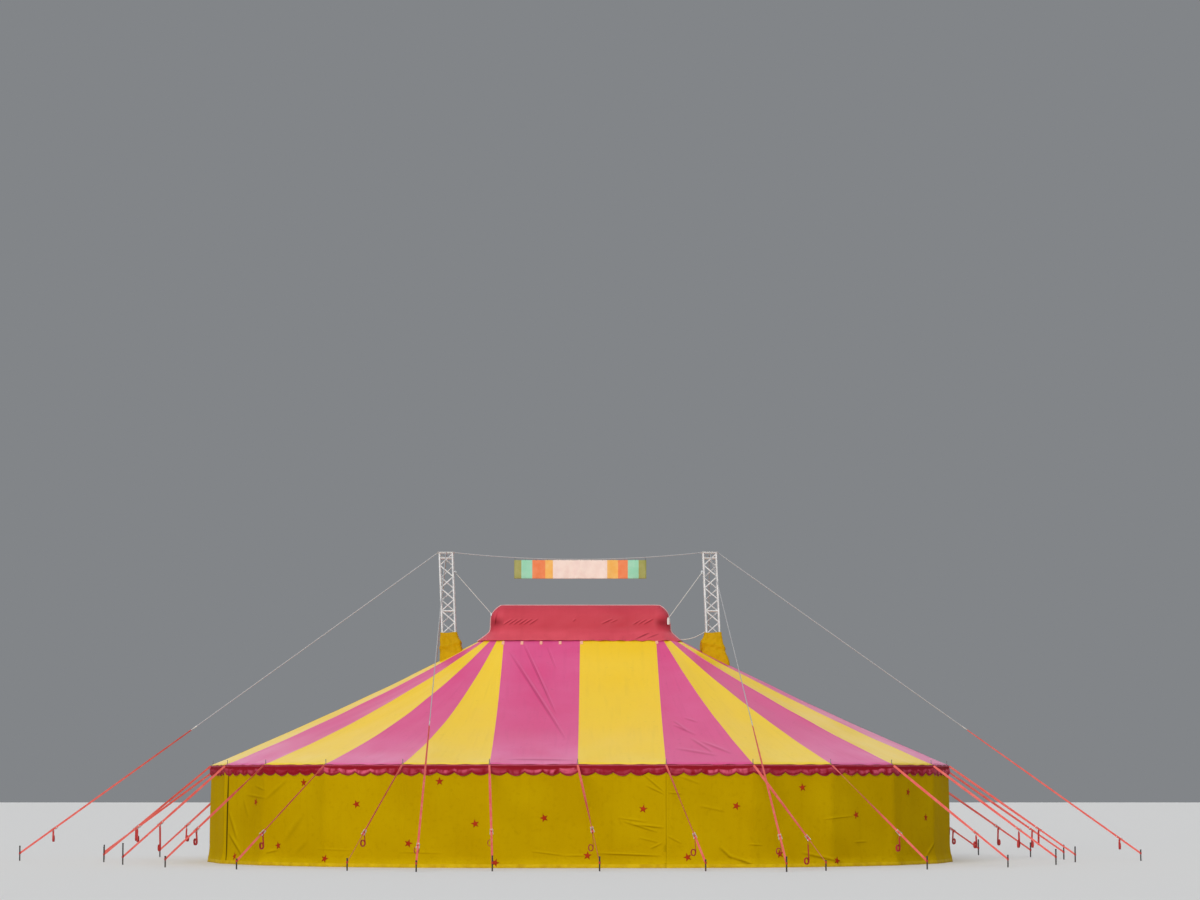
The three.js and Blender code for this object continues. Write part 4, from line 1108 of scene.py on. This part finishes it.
# %% Eave guys
GUY_RUN, GUY_OFFSET, GUY_HEIGHT = 3.10, 0.0655, 2.497
LAYER_GAP, SECOND_LAYER = 0.006, (8, 3, -4, 0)
GUY_GROUPS = ["front", "right", "back", "left"]
GUY_BREAKS = [22, 28, 35, 41, 48]
FIRST_GUY = -8
EAVE_GUYS = [
    (0.120, 0.400, 0.700, 0.450, (20, 20, 30, 10), 20), (-0.150, 0.400, 0.710, 0.400, (20, 20, 30, 10), 20),
    (0.290, 0.400, 0.700, 0.340, (10, 20, 40, 10), 20), (0.340, 0.550, 0.640, 0.700, (5, 5, 12, 5), 10),
    (0.100, 0.280, 0.690, 0.390, (35, 78, 20, 5), 5), (-0.230, 0.260, 0.710, 0.410, (25, 74, 76, 70), 5),
    (-0.250, 0.300, 0.700, 0.350, (15, 66, 78, 60), 80), (0.180, 0.370, 0.690, 0.360, (5, 5, 15, 5), 20),
    (0.540, 0.350, 0.670, 0.520, (5, 15, 50, 84), 78), (0.870, 0.280, 0.730, 0.490, (15, 55, 85, 70), 5),
    (0.710, 0.250, 0.755, 0.640, (5, 5, 40, 50), 74), (0.450, 0.320, 0.710, 0.460, (40, 87, 76, 10), 5),
    (0.320, 0.310, 0.725, 0.380, (8, 8, 12, 5), 10), (0.190, 0.400, 0.700, 0.470, (10, 12, 15, 5), 10),
    (0.220, 0.410, 0.710, 0.430, (15, 20, 25, 10), 20), (0.330, 0.400, 0.740, 0.480, (40, 30, 20, 10), 15),
    (0.650, 0.410, 0.725, 0.500, (20, 20, 30, 10), 20), (1.120, 0.450, 0.775, 0.400, (20, 20, 30, 10), 20),
]


def guy_numbers(number):
    """Row of a corner's guy. The front's rows reach round both ends, and the corners behind them take
    the row of the opposite corner with its sideways place turned."""
    row = (number - FIRST_GUY) % BAYS
    if row < len(EAVE_GUYS):
        return EAVE_GUYS[row]
    shift, *rest = EAVE_GUYS[row - HALF_BAYS]
    return (-shift, *rest)


def front_facing(way):
    """Direction square to a strap that lies in the upright plane facing the front."""
    return unit(np.cross(way, (0.0, 1.0, 0.0)))


TWIST_SHARES = [0, 0.20, 0.55, 1]


def strap_shape(start, end, twist, spread=0.0, steps=16):
    """A strap between two points. twist gives its turn out of the plane that faces the front, in degrees,
    at the four TWIST_SHARES of its length, and spread moves its middle sideways."""
    share = np.linspace(0, 1, steps + 1)
    way = unit(end - start)
    facing = front_facing(way)
    turn = np.radians(np.interp(share, TWIST_SHARES, twist))[:, None]
    across = facing * np.cos(turn) + np.cross(facing, way) * np.sin(turn)
    path = (start * (1 - share[:, None]) + end * share[:, None]
            + facing * (spread * np.sin(math.pi * share))[:, None])
    return carried(path, flat_section(WEBBING_WIDTH, WEBBING_THICKNESS), across=across)


def guy_fittings(start, end, share, foot, stake_height, tail_length):
    """Ratchet, tail and stake of a guy that runs from start to end."""
    centre = start * (1 - share) + end * share
    way = unit(end - start)
    facing = front_facing(way)
    over = np.cross(facing, way)
    level = unit(np.cross(way, (0.0, 0.0, 1.0)))
    return [placed(ratchet, centre, facing, way, over),
            placed(tail_shape(tail_length), centre - over * 0.008, level, np.cross((0, 0, 1), level),
                   (0, 0, 1)),
            *stake_shapes(foot, stake_height)]


def eave_guy(number):
    """Straps, ratchet, tail and stake of one corner."""
    shift, stake_height, share, tail_length, twist, low_twist = guy_numbers(number)
    edge = eave_point(number, 0.0, 0.0)
    foot = edge + unit(eave_point(number, 1.0, 0.0) - edge) * GUY_RUN + (shift, 0, 0)
    start = eave_point(number, GUY_OFFSET, GUY_HEIGHT)
    end = foot + (0, 0, STRAP_LOW_END)
    knot = start * (1 - share) + end * share
    return [strap_shape(start, knot, twist, LAYER_GAP),
            strap_shape(start - (0, 0, LAYER_GAP), knot, np.add(twist, SECOND_LAYER), -LAYER_GAP),
            strap_shape(knot, end, (twist[3], low_twist, low_twist, low_twist), steps=8),
            *guy_fittings(start, end, share, foot, stake_height, tail_length)]


for side, first, last in zip(GUY_GROUPS, GUY_BREAKS[:-1], GUY_BREAKS[1:]):
    shapes = [part for number in range(first, last) for part in eave_guy(number)]
    make_piece("guy_set_" + side, shapes, guy_finishes[:WIRE], ["eave_guys_" + side])

# %% [markdown]
# ## Masts
# Each mast is a square lattice of aluminium tube: four round chords and thinner tube that goes up each
# face in a zigzag of 31 cm. The zigzags of the front and the back run against each other, so they look
# like a row of crosses. Level rungs close the lattice at four heights, and feet and heads are plates.

# %% Mast
CHORD_RADIUS, BRACE_RADIUS, BRACE_PITCH = 0.027, 0.019, 0.305
MAST_WIDTH, PLATE, FOOT_HALF, HEAD_HALF = 0.400, 0.020, 0.320, 0.205
BRACE_TOP = MAST_HEIGHT - 0.040
RUNG_HEIGHTS = [0.09, 3.21, 6.635, 8.05]


def mast_point(side, x, y, height):
    """Point beside the middle line of a mast, which leans along x."""
    height = np.asarray(height, float)
    return np.stack(np.broadcast_arrays(mast_x(side, height) + x, y, height), axis=-1).astype(float)


def level_plate(x, half, low, high, cut=0.03, finish=0):
    """A square plate that lies level, with its corners cut off."""
    return straight((x, 0, low), (x, 0, high), cut_corners(half, half, half - cut, half - cut),
                    up=(0, 1, 0), finish=finish)


def lattice_mast(side):
    """All the tubes and plates of one mast."""
    inset = MAST_WIDTH / 2 - CHORD_RADIUS
    corners = [(-inset, -inset), (inset, -inset), (inset, inset), (-inset, inset)]
    parts = [straight(mast_point(side, x, y, PLATE / 2), mast_point(side, x, y, MAST_HEIGHT - PLATE / 2),
                      round_section(CHORD_RADIUS, 16), up=(0, 1, 0)) for x, y in corners]
    brace = round_section(BRACE_RADIUS, 8)
    for face in range(4):
        here, there = corners[face], corners[(face + 1) % 4]
        for step in range(int((BRACE_TOP - PLATE) / BRACE_PITCH)):
            low = BRACE_TOP - (step + 1) * BRACE_PITCH
            start, end = (there, here) if step % 2 else (here, there)
            parts.append(straight(mast_point(side, *start, low), mast_point(side, *end, low + BRACE_PITCH),
                                  brace, up=(0.1, 0.2, 1)))
        for height in RUNG_HEIGHTS:
            parts.append(straight(mast_point(side, *here, height), mast_point(side, *there, height), brace))
    parts.append(level_plate(mast_x(side, PLATE / 2), FOOT_HALF, 0.0, PLATE))
    parts.append(level_plate(mast_x(side, MAST_HEIGHT - PLATE / 2), HEAD_HALF, MAST_HEIGHT - PLATE,
                             MAST_HEIGHT, cut=0.02))
    return parts


for side in SIDES:
    make_piece("lattice_" + side, lattice_mast(side), [aluminium], ["mast_" + side])

# %% [markdown]
# ## Mast guys
# Wire rope goes down from the head of each mast to the front, to the back and to the outside. Above the
# roof's edge it changes to webbing, which ends in a ratchet and a stake, as on the eave guys. A shackle
# joins the rope's eye to the strap's.

# %% Mast guys
CAP_HALF, CAP_LOW, CAP_HIGH = 0.230, 8.2003, 8.2103
STRAP_SHARE = 0.59
WIRE_RADIUS = 0.012
MAST_GUYS = {
    "left": [((-3.728, -11.3), 0.270, 0.950, 0.200), ((-4.893, 11.3), 0.360, 0.925, 0.430),
             ((-14.9, 0.0), 0.400, 0.920, 0.340)],
    "right": [((4.893, -11.3), 0.360, 0.925, 0.430), ((3.728, 11.3), 0.270, 0.950, 0.200),
              ((14.9, 0.0), 0.300, 0.950, 0.300)],
}


def ring_shape(centre, normal, radius, thickness, finish):
    """A small round ring, such as a thimble or the bow of a shackle."""
    normal = unit(normal)
    first = unit(np.cross(normal, (0.3, 0.2, 1.0)))
    spokes = round_section(radius, 16) @ np.stack([first, np.cross(normal, first)])
    return looped(centre + spokes, round_section(thickness, 8), finish, up=normal)


def mast_guy(start, stake, stake_height, share, tail_length):
    """Wire rope, shackle, webbing, ratchet and stake of one mast guy."""
    foot = np.array([*stake, 0.0])
    end = foot + (0, 0, STRAP_LOW_END)
    change = start * (1 - STRAP_SHARE) + end * STRAP_SHARE
    way = unit(end - start)
    facing = front_facing(way)
    knot = start * (1 - share) + end * share
    return [straight(start + way * 0.03, change, round_section(WIRE_RADIUS, 8), finish=WIRE, steps=4),
            straight(change - way * 0.16, change - way * 0.02, round_section(0.014, 8), finish=ZINC),
            ring_shape(start + way * 0.02, facing, 0.022, 0.006, ZINC),
            ring_shape(change + way * 0.01, facing, 0.026, 0.007, ZINC),
            strap_shape(change + way * 0.02, knot, (55, 40, 20, 5)),
            strap_shape(knot, end, (5, 10, 10, 10), steps=8),
            *guy_fittings(start, end, share, foot, stake_height, tail_length)]


def mast_guy_set(side):
    """The cap of a mast head and its three guys."""
    x = float(mast_x(side, MAST_HEIGHT))
    middle = (CAP_LOW + CAP_HIGH) / 2
    inset = CAP_HALF - WIRE_RADIUS
    parts = [level_plate(x, CAP_HALF, CAP_LOW, CAP_HIGH, finish=ZINC)]
    starts = [(x, -inset, middle), (x, inset, middle), (x + SIDES[side] * inset, 0.0, middle)]
    for start, numbers in zip(starts, MAST_GUYS[side]):
        parts += mast_guy(np.array(start), *numbers)
    return parts


for side in SIDES:
    make_piece("mast_guy_set_" + side, mast_guy_set(side), guy_finishes,
               ["mast_guys_" + side])

# %% [markdown]
# ## Crumpled cloth
# Loose cloth that is tied round something crumples into sharp ridges. Slow sine waves in random but
# seeded directions give its lie, and the size of some of them, taken without its sign, gives the creases,
# because such a wave has a sharp edge at every zero.


# %% Crumple
WAVES, SLOWEST, FASTEST, SHARP_SHARE = 12, 1.0, 4.0, 0.6


def crumple(u, v, seed):
    """Height between about -1 and 1: a mean of waves of random direction, of which SHARP_SHARE are
    folded over at zero. Faster waves are lower."""
    draw = np.random.default_rng(seed)
    total, weight = 0.0, 0.0
    for _ in range(WAVES):
        rate = draw.uniform(SLOWEST, FASTEST)
        heading, phase = draw.uniform(0, 2 * math.pi, 2)
        wave = np.sin(rate * 2 * math.pi * (u * math.cos(heading) + v * math.sin(heading)) + phase)
        if draw.random() < SHARP_SHARE:
            wave = 1 - 2.2 * np.abs(wave)
        total = total + wave / rate
        weight += 1 / rate
    return total / weight * 2.2


# %% [markdown]
# ## Mast sleeves
# A yellow canvas sleeve closes the roof round each mast. It is tied to the lattice at the top and spreads
# towards the roof, and it has crumpled like a bag. Its grid goes round the mast and from the tie down to
# below the canvas. The left one leans to the right and bulges there. The right one bulges to the left
# and, lower down, to the right. Each bulge is a size and the share of the drop where it is widest.

# %% Sleeve
BOOT_TOP, BOOT_BOTTOM = 6.070, 5.150
BOOT_TOP_HALF, BOOT_BOTTOM_HALF = 0.225, 0.345
SLEEVE_LEAN = {"left": 0.070, "right": 0.010}
SLEEVE_BULGES = {"left": [(0.04, 0.45)], "right": [(-0.09, 0.42), (0.07, 0.85)]}
SLEEVE_SEEDS = {"left": 5, "right": 11}
SQUARE_POWER = 12
boot_yellow = coated_canvas("sleeve_canvas", (0.52, 0.295, 0.0), (0.70, 0.43, 0.004),
                            (0.28, 0.15, 0.002), (0.24, 0.12, 0.0), gloss=0.5, shine=0.06, dirt_low=0.5,
                            creases=0.02)


def sleeve_shape(side):
    """A sleeve with a rounded square section: its half width grows from the tie to its foot, a fold sags
    all round it, and crumples press it in and out by up to 22 mm. Both ends of the turn are blended, so
    that the crumples meet after one turn."""
    turn, drop = np.meshgrid(np.linspace(0, 2 * math.pi, 97), np.linspace(0, 1, 34))
    turns = turn / (2 * math.pi)
    c, s = np.cos(turn), np.sin(turn)
    square = (np.abs(c) ** SQUARE_POWER + np.abs(s) ** SQUARE_POWER) ** (-1 / SQUARE_POWER)
    half = BOOT_TOP_HALF + 0.004 + (BOOT_BOTTOM_HALF - BOOT_TOP_HALF) * drop
    tie = 0.004 * np.exp(-((drop - 0.07) / 0.025) ** 2)
    lie, lie_next = (crumple((turns - start) * 2, drop * 0.9, SLEEVE_SEEDS[side]) for start in (0, 1))
    blend = np.clip((turns - 0.85) / 0.15, 0, 1)
    lie = lie * (1 - blend) + lie_next * blend
    press = 0.022 * lie * np.sin(math.pi * np.clip(drop * 1.1 + 0.06, 0, 1))
    sag_fold = 0.030 * np.exp(-((drop - 0.36 - 0.10 * c * (1 if side == "right" else -1)) / 0.07) ** 2)
    reach = (half + press + sag_fold - tie) * square
    height = BOOT_TOP - (BOOT_TOP - BOOT_BOTTOM) * drop
    height = height - 0.020 * (1 - drop) ** 6 * (1 + np.sin(turn * 3 + 1)) * 0.5
    bulge = sum(size * np.clip(c * np.sign(size), 0, 1) * np.exp(-((drop - level) / 0.26) ** 2)
                for size, level in SLEEVE_BULGES[side])
    x = mast_x(side, height) + reach * c + SLEEVE_LEAN[side] * drop + bulge
    points = np.stack([x, reach * s, height], axis=-1)
    points[:, -1] = points[:, 0]
    return grid_shape(points, np.stack([turns * 2.0, drop * 0.92], axis=-1), wrap_columns=True)


for side in SIDES:
    shape = sleeve_shape(side)
    sleeve = make_piece("mast_sleeve_" + side, shape, [boot_yellow], ["mast_boot_" + side],
                        cloth=0.003, sharp_degrees=60)
    area = cloth_area(shape)
    print("  sleeve area", round(area, 2))

# %% [markdown]
# ## Cupola cover
# The cupola is a frame between the masts with one red cover over it. The cover is a profile, from its
# skirt over a steep neck and a round shoulder to a nearly flat top, carried round a long loop with round
# ends. The profile's corner points are the solid's own, and a smooth curve goes through them.

# %% Cupola surface
COVER_PROFILE = np.array([(0.724, 5.830), (0.570, 5.940), (0.430, 6.060), (0.390, 6.160), (0.380, 6.300),
                          (0.364, 6.430), (0.342, 6.530), (0.296, 6.620), (0.215, 6.710), (0.110, 6.785)])
STRAIGHT_SHARE = 0.72


def smooth_profile(points, count):
    """Points along a smooth curve through the profile: each stretch between two corners is a cubic whose
    direction at a corner is half the way from the corner before to the corner after."""
    ahead = np.vstack([points[:1] * 2 - points[1:2], points, points[-1:] * 2 - points[-2:-1]])
    where = np.linspace(0, len(points) - 1, count)
    start = np.minimum(where.astype(int), len(points) - 2)
    t = (where - start)[:, None]
    a, b, c, d = (ahead[start + i] for i in range(4))
    return 0.5 * (2 * b + (c - a) * t + (2 * a - 5 * b + 4 * c - d) * t ** 2
                  + (3 * b - a - 3 * c + d) * t ** 3)


def loop_point(share, radius):
    """Point of a long loop with round ends: share runs round from the middle of the front through the
    right end, and of each quarter STRAIGHT_SHARE goes to the straight side and the rest to the end."""
    quarter = np.mod(share, 1.0) * 4
    part = np.floor(quarter).astype(int) % 4
    out = np.where(part % 2 == 0, quarter - np.floor(quarter), 1 - (quarter - np.floor(quarter)))
    line = np.clip(out / STRAIGHT_SHARE, 0, 1) * RING_HALF_LENGTH
    over = np.clip((out - STRAIGHT_SHARE) / (1 - STRAIGHT_SHARE), 0, 1) * math.pi / 2
    x = (line + radius * np.sin(over)) * np.where(part >= 2, -1, 1)
    y = radius * np.cos(over) * np.where((part == 1) | (part == 2), 1, -1)
    return np.stack([x, y], axis=-1)


COVER_FOLDS = [((x, 6.42), (x - 0.25, 6.26), 0.024, 0.014) for x in
               (-1.12, -1.27, -1.40, -1.54, -1.67, -1.80)]
COVER_FOLDS += [((-0.12, 6.42), (-0.20, 6.34), 0.024, 0.010), ((0.87, 6.42), (0.56, 6.28), 0.024, 0.014),
                ((1.00, 6.40), (0.80, 6.31), 0.022, 0.009), ((1.62, 6.39), (1.40, 6.26), 0.024, 0.013),
                ((1.78, 6.41), (1.54, 6.27), 0.024, 0.014), ((1.95, 6.42), (1.68, 6.27), 0.024, 0.014),
                ((1.85, 6.05), (1.45, 5.86), 0.034, 0.014), ((2.10, 6.02), (1.75, 5.88), 0.030, 0.010),
                ((1.98, 6.42), (2.36, 6.42), 0.200, 0.010), ((-2.40, 6.42), (-2.02, 6.42), 0.200, 0.010),
                ((-2.22, 6.62), (-2.28, 6.24), 0.034, 0.010)]


def cover_cloth(share, radius, height):
    """The cover with its details: the fabric between the posts of the frame sinks a little, the neck is
    pinched at both ends, and the skirt's edge flutters."""
    base = loop_point(share, 1.0)
    x_line = np.clip(base[..., 0], -RING_HALF_LENGTH, RING_HALF_LENGTH)
    spine = np.stack([x_line, np.zeros_like(share)], axis=-1)
    outward = base - spine
    rounded = np.abs(base[..., 0]) > RING_HALF_LENGTH + 1e-6
    neck = np.exp(-((height - 6.27) / 0.13) ** 2)
    posts = np.sin(math.pi * (x_line + RING_HALF_LENGTH) / 1.01) ** 2
    sunk = 0.012 * posts * np.exp(-((height - 6.45) / 0.2) ** 2)
    pinch = 0.030 * neck * np.where(rounded, np.sin(np.arctan2(np.abs(outward[..., 1]),
                                                               np.abs(outward[..., 0])) * 2) ** 2, 0)
    low = np.clip((6.05 - height) / 0.21, 0, 1)
    right_share = np.clip((x_line + 0.4) / 2.4, 0, 1)
    flutter = low ** 2 * (0.010 + 0.022 * right_share) * ripple((share * 23, 0.5), (share * 41 + 0.2, 0.5))
    slack = 0.004 * ripple((share * 9 + height * 1.3, 1.0), (share * 17 - height * 2.1, 0.7))
    reach = radius - sunk - pinch + flutter + slack * (1 - low)
    # the skirt's edge drops in waves, which are deeper at the right, where it is ruffled
    drop = low ** 3 * (0.012 * right_share + 0.012 * (0.3 + right_share) * ripple((share * 29, 1.0)))
    return np.concatenate([spine + outward * reach[..., None], (height - drop)[..., None]], axis=-1)


# %% Cupola finish and piece
COVER_CUT, MEAN_RADIUS = (6.9, 2.8), 0.45
# The cover is patchily paler from its skirt up to between 0.30 and 0.52 m along the profile, and its folds
# get painted shade and a painted highlight.
cover_red = coated_canvas("cupola_canvas", (0.50, 0.038, 0.062), (0.72, 0.095, 0.135),
                          (0.36, 0.02, 0.03), (0.20, 0.005, 0.014), gloss=0.5, shine=0.22,
                          paler_along=(0.30, 0.52), creases=0.008)
profile = smooth_profile(COVER_PROFILE, 46)
top_steps = np.linspace(1, 0, 9)[1:, None]
top_rows = np.concatenate([COVER_PROFILE[-1, 0] * top_steps,
                           COVER_PROFILE[-1, 1] + 0.006 * (1 - top_steps)], axis=1)
profile = np.vstack([profile, top_rows])
cover_shares = np.linspace(0, 1, 281)
share_grid, radius_grid = np.meshgrid(cover_shares, profile[:, 0])
height_grid = np.broadcast_to(profile[:, 1:], share_grid.shape)
cover_points = cover_cloth(share_grid, radius_grid, height_grid)
cover_points[:, -1] = cover_points[:, 0]
cover_flat = np.stack(np.meshgrid(distances(loop_point(cover_shares, MEAN_RADIUS)), distances(profile)),
                      axis=-1)
cover_shape = grid_shape(cover_points, cover_flat, wrap_columns=True)
cover = make_piece("cupola_canvas", cover_shape, [cover_red], ["cupola_cover"], cloth=0.003,
                   merge=1e-4, sharp_degrees=60, folds=COVER_FOLDS)
cover_area = cloth_area(cover_shape)
print("cupola cover area", round(cover_area, 2))
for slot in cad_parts["cupola_frame"].material_slots:
    slot.material = galvanised

# %% [markdown]
# ## Piping
# A pale cord is sewn over the cover's two ends and along its ridge, where its panels meet. It follows the
# profile in the plane of the masts, and half of it stands proud of the cloth.

# %% Piping
PIPING_RADIUS = 0.012
piping_white = plain_cloth("piping", (0.80, 0.50, 0.50), (0.72, 0.34, 0.35), weave=120.0)


def end_piping(sign):
    """Path over one end of the cover, from its skirt to the ridge."""
    share = np.full(len(profile), 0.25 if sign > 0 else 0.75)
    path = cover_cloth(share, profile[:, 0], profile[:, 1])
    path[:, 0] += sign * 0.004
    path[:, 2] += 0.003
    return path


ridge_path = np.array([[x, 0.0, COVER_PROFILE[-1, 1] + 0.010]
                       for x in np.linspace(-RING_HALF_LENGTH, RING_HALF_LENGTH, 24)])
piping_shapes = [carried(end_piping(sign), round_section(PIPING_RADIUS, 8), up=(0, 1, 0))
                 for sign in (-1, 1)]
piping_shapes.append(carried(ridge_path, round_section(PIPING_RADIUS, 8)))
make_piece("cupola_piping", piping_shapes, [piping_white])

# %% [markdown]
# ## Lashing tabs
# Short pale straps lash the roof to the ring under the skirt. Only the ends of a few of them show a
# little outside it on the front, and the same few at the back.

# %% Tabs
TAB_PLACES = [-0.76, -0.51, -0.26, 0.02, 1.06, -1.06]
TAB_SHARES = [0.976, 0.967, 0.958]
TAB_WIDTH, TAB_THICKNESS = 0.070, 0.012
tab_cloth = plain_cloth("tab_webbing", (0.88, 0.42, 0.30), (0.86, 0.52, 0.36))


def tab_shape(place):
    """The end of a lashing, which lies flat on the canvas a little outside the skirt."""
    path = roof_cloth(np.full(len(TAB_SHARES), place), np.array(TAB_SHARES)) + (0, 0, TAB_THICKNESS)
    return carried(path, flat_section(TAB_WIDTH, TAB_THICKNESS))


tab_shapes = [tab_shape((place + turn) % BAYS) for turn in (0, HALF_BAYS) for place in TAB_PLACES]
make_piece("lashing_tabs", tab_shapes, [tab_cloth])

# %% [markdown]
# ## Hoist lines
# The cupola was hoisted by lines from both masts. On the left the line ends in a shackle at the cover's
# shoulder, and on the right in a white pulley. Each line starts at a sheave that hangs from a bar across
# the mast's face.

# %% Hoist lines
HOIST_RADIUS, HOIST_HIGH = 0.009, 7.680
BAR_HALF, BAR_RADIUS, BAR_OFFSET = 0.19, 0.0145, 0.0153
SHEAVE = [(0.012, -0.012), (0.045, -0.012), (0.040, 0.0), (0.045, 0.012), (0.012, 0.012)]
FITTING_WIDTH = 0.060
FITTINGS = {"left": ((-2.3812, 0.0), (-1.0, 0.0), 0.036, 6.510, 6.580),
            "right": ((2.3598, -0.2184), (0.8413, -0.5406), 0.050, 6.265, 6.450)}
white_plastic = plain_cloth("pulley_white", (0.82, 0.80, 0.78), (0.62, 0.60, 0.58), roughness=0.4)


def fitting_shape(side):
    """The shackle or pulley: a plate with cut corners that stands on the cover, turned to face outwards."""
    middle, outward, depth, low, high = FITTINGS[side]
    half, rise = depth / 2, (high - low) / 2
    flat_plate = straight((0, -FITTING_WIDTH / 2, 0), (0, FITTING_WIDTH / 2, 0),
                          cut_corners(half, rise, half * 0.5, rise * 0.7), finish=1 if side == "left" else 2)
    return placed(flat_plate, (*middle, (low + high) / 2), (*outward, 0), (-outward[1], outward[0], 0),
                  (0, 0, 1))


def hoist_line(side):
    """The bar and sheave on the mast, the line, and the shackle or pulley at its low end."""
    inwards = -SIDES[side]
    bar_x = float(mast_x(side, HOIST_HIGH - inwards * 0.015)) + inwards * (MAST_WIDTH / 2 + BAR_OFFSET)
    bar = np.array([bar_x, 0.0, HOIST_HIGH])
    middle, _, _, _, high = FITTINGS[side]
    end = np.array([*middle, high - 0.01])
    return [straight(bar - (0, BAR_HALF, 0), bar + (0, BAR_HALF, 0), round_section(BAR_RADIUS, 12), finish=1),
            placed(turned(SHEAVE, (0, 0, 0), finish=1), bar, (1, 0, 0), (0, 0, 1), (0, 1, 0)),
            straight(bar, end, round_section(HOIST_RADIUS, 10), steps=6),
            ring_shape(end + (0, 0, 0.004), (0, 1, 0), 0.014, 0.005, 1),
            fitting_shape(side)]


for side in SIDES:
    make_piece("hoist_rope_" + side, hoist_line(side), [pale_rope, galvanised, white_plastic],
               ["hoist_line_" + side])

# %% [markdown]
# ## Slack rope
# A pale rope hangs loosely from the rim of the right sleeve to the skirt of the cover.

# %% Slack rope
SLACK_HIGH = BOOT_TOP + HOIST_RADIUS + 0.0003
SLACK_LOW, SLACK_SAG = 5.880, 0.060
slack_rim = float(mast_x("right", BOOT_TOP)) - BOOT_TOP_HALF
slack_end = RING_HALF_LENGTH + 0.6666 * math.cos(math.pi / (2 * END_BAYS)) + 0.0003


def slack_path(share):
    """Path from the cover's skirt to the sleeve's rim, lowered by 4 sag share (1 - share)."""
    return np.stack([slack_end + (slack_rim - slack_end) * share, 0 * share,
                     SLACK_LOW + (SLACK_HIGH - SLACK_LOW) * share
                     - SLACK_SAG * 4 * share * (1 - share)], axis=-1)


slack_points = np.vstack([slack_path(np.linspace(0, 1, 25)), [[slack_rim + 0.018, 0.0, SLACK_HIGH]]])
slack_shape = carried(slack_points, round_section(HOIST_RADIUS, 12), up=(0, 1, 0))
slack_rope = make_piece("slack_rope_pale", slack_shape, [pale_rope], ["slack_rope"])
slack_length = float(np.linalg.norm(np.diff(slack_points, axis=0), axis=1).sum())
print("slack rope", round(slack_length, 3), "m")

# %% [markdown]
# ## Ridge cable and banner
# A wire rope sags between the mast heads, and a cloth banner is tied to it. The banner has a bare pale
# field in the middle and four coloured bands on each side of it. Its columns are cut at the edges of the
# bands, so each band is a finish of whole faces.

# %% Ridge cable
RIDGE_SAG, CABLE_RADIUS = 0.180, 0.010


def ridge_point(share):
    """Point of the ridge cable: a straight line between the caps, lowered by 4 sag share (1 - share)."""
    left = float(mast_x("left", MAST_HEIGHT)) + CAP_HALF
    right = float(mast_x("right", MAST_HEIGHT)) - CAP_HALF
    share = np.asarray(share, float)
    height = (CAP_LOW + CAP_HIGH) / 2 - RIDGE_SAG * 4 * share * (1 - share)
    return np.stack([left + (right - left) * share, 0 * share, height], axis=-1)


make_piece("ridge_wire", carried(ridge_point(np.linspace(0, 1, 41)), round_section(CABLE_RADIUS, 8)),
           [wire_rope], ["ridge_cable"])

# %% Banner
BANNER_LENGTH, BANNER_HEIGHT = 3.54, 0.51
BANNER_TOP = float(ridge_point(0.5)[2]) - CABLE_RADIUS
BAND_EDGES = [0, 0.054, 0.137, 0.235, 0.293, 0.704, 0.786, 0.860, 0.942, 1]
BAND_FINISHES = [0, 1, 2, 3, 4, 3, 2, 1, 0]
band_cloths = [plain_cloth("banner_" + name, *tones) for name, *tones in (
    ("olive", (0.30, 0.30, 0.07), (0.38, 0.36, 0.12)), ("mint", (0.28, 0.62, 0.42), (0.36, 0.66, 0.48)),
    ("orange", (0.80, 0.20, 0.06), (0.82, 0.28, 0.12)), ("amber", (0.84, 0.42, 0.08), (0.84, 0.50, 0.16)),
    ("field", (0.86, 0.70, 0.62), (0.80, 0.60, 0.54)))]


def banner_point(share, drop):
    """Point of the banner: it hangs straight, with waves that grow towards its lower edge, and its upper
    edge dips a little between its ties."""
    x = (share - 0.5) * BANNER_LENGTH
    waves = (0.004 + 0.014 * drop) * ripple((share * 5.5, 0.6), (share * 9.3 + drop * 0.4, 0.4),
                                            (share * 2.1 - drop * 0.6, 0.6))
    dip = 0.008 * np.abs(np.sin(math.pi * share * 12)) * (1 - drop) + 0.003
    return np.stack([x, waves, BANNER_TOP - dip - (BANNER_HEIGHT - 0.005) * drop], axis=-1)


fine_edges = np.unique(np.concatenate([np.linspace(a, b, max(3, int((b - a) * 90)))
                                       for a, b in zip(BAND_EDGES[:-1], BAND_EDGES[1:])]).round(6))
share_grid, drop_grid = np.meshgrid(fine_edges, np.linspace(0, 1, 17))
column_middles = (fine_edges[:-1] + fine_edges[1:]) / 2
bands = np.array(BAND_FINISHES)[np.searchsorted(BAND_EDGES, column_middles) - 1]
banner_flat = np.stack([share_grid * BANNER_LENGTH, drop_grid * BANNER_HEIGHT], axis=-1)
banner_shape = grid_shape(banner_point(share_grid, drop_grid), banner_flat, finish=bands[None, :])
banner = make_piece("banner_sheet", banner_shape, band_cloths, ["banner"], cloth=0.002)
TIES, TIE_RADIUS = 12, 0.006
cable_start, cable_end = float(ridge_point(0.0)[0]), float(ridge_point(1.0)[0])
tie_shapes = []
for number in range(TIES + 1):
    corner = banner_point(np.clip(number / TIES, TIE_RADIUS, 1 - TIE_RADIUS), np.array(0.0))
    cable = ridge_point((corner[0] - cable_start) / (cable_end - cable_start))
    tie_shapes.append(straight(corner - (0, 0, 0.02), cable + (0, 0, CABLE_RADIUS),
                               round_section(TIE_RADIUS, 8), up=(0, 1, 0)))
ties = make_piece("banner_ties", tie_shapes, [pin_steel])
